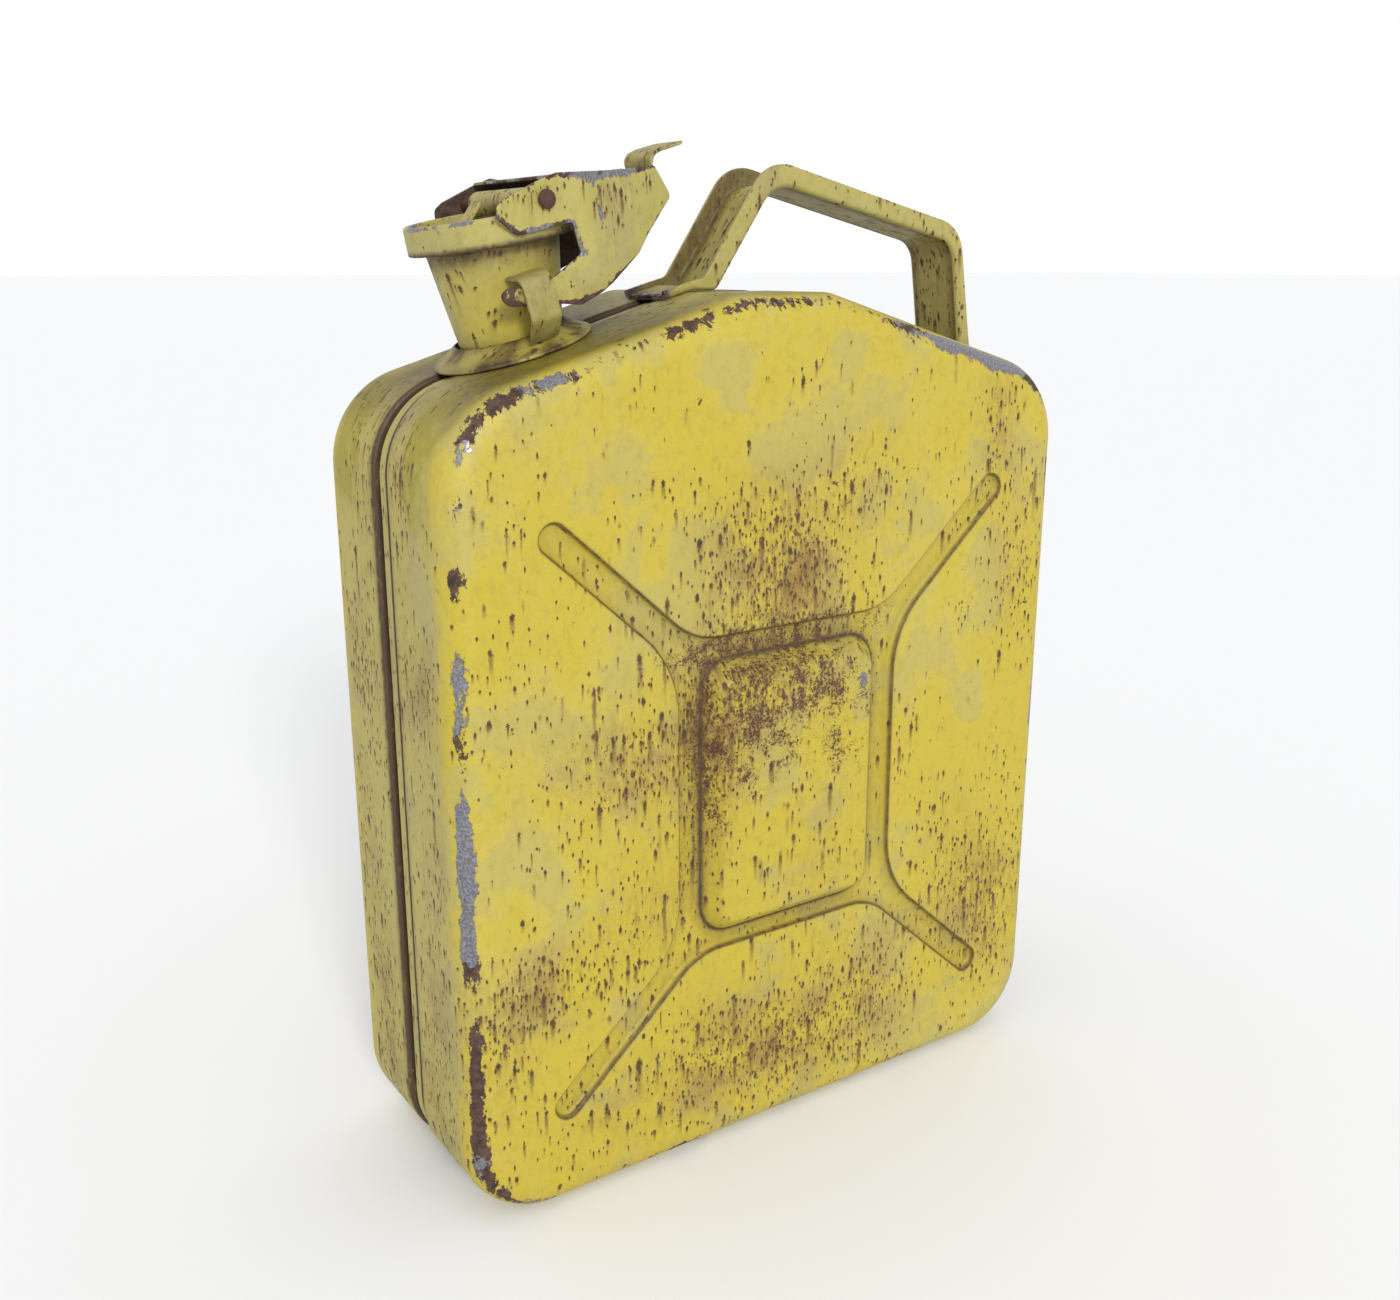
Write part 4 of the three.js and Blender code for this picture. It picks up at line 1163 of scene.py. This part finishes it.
def saddle_masks(points):
    """The plate is bare and rubbed towards its front edge."""
    u = untilted(points, NECK_TILT)[0]
    ragged = grown_noise(points, 0.12, 17)
    front = smooth(u, 20, 11)
    return dict(rust=0.3 + 0.4 * ragged, wear=0.1 + 0.4 * ragged + front * 0.25, steel=front * 0.2 - 0.1,
                grime_and_shade=np.clip(0.35 + 0.2 * ragged, 0, 1))


piece("lever_saddle", saddle(), "lever", "olive_paint", tone=1.0, wear=0.6,
      masks=saddle_masks, shift=191.0)

tab_line = bent(
    [(54.5, 44.6, 0), (55, 47.2, 1.6), (56.4, 48.6, 1.6), (59, 49.2, 3), (68, 50.1, 0)], 0.35, 1.0)
tab_halves = np.interp(tab_line[:, 0], [54.5, 55, 59, 66.4, 67.5, 68], [7.6, 7.9, 7.8, 7.4, 7.0, 6.4])


def tab_masks(points):
    ragged = grown_noise(points, 0.25, 19)
    return dict(rust=0.35 + 0.4 * ragged, wear=0.12 * ragged, grime_and_shade=np.clip(0.15 + 0.3 * ragged, 0, 1))


piece("thumb_tab", strip(tab_line, tab_halves, 1.2).place(in_neck), "lever", "olive_paint",
      tone=1.0, wear=0.8, reach=1.2, masks=tab_masks, shift=211.0)


def across_pin(made, offset, side):
    """Lays a turned body along the cross pin, from the offset outwards on one side."""
    r1, r2, along = made.points.T
    made.points = columns(PIN[0] + r1, side * (offset + along), PIN[1] + r2)
    return made.place(in_neck)


pin_reach = CHEEK_INNER + CHEEK_SHEET + 0.3
shank = turned([(0, -pin_reach, 0), (2, -pin_reach, 0.3), (2, pin_reach, 0.3), (0, pin_reach, 0)], 32)
piece("pivot_pin", across_pin(shank, 0, 1), "lever", "bare_steel")
for head_name, head_side in (("pin_head_front", -1), ("pin_head_rear", 1)):
    head = turned([(0, 0, 0), (2.75, 0, 0.2), (2.6, 0.8, 0.5), (1.6, 1.45, 0.9), (0, 1.6, 0)], 36)
    piece(head_name, across_pin(head, pin_reach + 0.3, head_side), "lever", "bare_steel")

# ---------------- floor, light and camera

KEY = 1.95              # strength of the key light
AMBIENT = 0.88          # strength of the studio's white walls
LENS = 35.97            # mm, on a sensor 36 mm wide
AIM = (-0.0060, 0, 0.1632)
AZIMUTH = -34.33
ELEVATION = 15.39
DISTANCE = 0.4898       # from the aim to the camera, in metres


def floor():
    """A wide pale floor."""
    reach = 40.0
    mesh = bpy.data.meshes.new("floor")
    mesh.from_pydata([(x * reach, y * reach, 0) for x, y in ((-1, -1), (1, -1), (1, 1), (-1, 1))],
                     [], [(0, 1, 2, 3)])
    made = bpy.data.objects.new("floor", mesh)
    bpy.context.scene.collection.objects.link(made)
    pale = Graph("pale_floor").finish((0.845, 0.85, 0.86, 1), 0.6, **{"Specular IOR Level": 0.2})
    mesh.materials.append(pale)


def direction(azimuth, elevation):
    """Unit vector from the can towards that azimuth and elevation in degrees; 0 is its front."""
    a, e = math.radians(azimuth), math.radians(elevation)
    return Vector((math.sin(a) * math.cos(e), -math.cos(a) * math.cos(e), math.sin(e)))


def distant_light(name, azimuth, elevation, softness, strength):
    """A large lamp far away, with its apparent width in degrees."""
    data = bpy.data.lights.new(name, "SUN")
    data.angle = math.radians(softness)
    data.energy = strength
    made = bpy.data.objects.new(name, data)
    made.rotation_euler = (-direction(azimuth, elevation)).to_track_quat("-Z", "Y").to_euler()
    bpy.context.scene.collection.objects.link(made)


floor()
distant_light("key", -16, 24, 14, KEY)

# The studio's walls light the can a little less than they look.
world = bpy.data.worlds.new("studio")
world.use_nodes = True
tree = world.node_tree
seen = tree.nodes.new("ShaderNodeLightPath").outputs["Is Camera Ray"]
strength = tree.nodes.new("ShaderNodeMapRange")
strength.inputs["To Min"].default_value = AMBIENT
strength.inputs["To Max"].default_value = 1.0
tree.links.new(seen, strength.inputs["Value"])
background = tree.nodes["Background"]
background.inputs["Color"].default_value = (1, 1, 1, 1)
tree.links.new(strength.outputs["Result"], background.inputs["Strength"])
bpy.context.scene.world = world
bpy.context.scene.view_settings.view_transform = "Standard"

camera = bpy.data.cameras.new("camera")
camera.lens = LENS
camera.sensor_width = 36
camera.clip_start = 0.02
camera.clip_end = 60
camera_object = bpy.data.objects.new("camera", camera)
back = direction(AZIMUTH, ELEVATION)
camera_object.location = Vector(AIM) + back * DISTANCE
camera_object.rotation_euler = (-back).to_track_quat("-Z", "Y").to_euler()
bpy.context.scene.collection.objects.link(camera_object)
bpy.context.scene.camera = camera_object

bpy.context.view_layer.update()
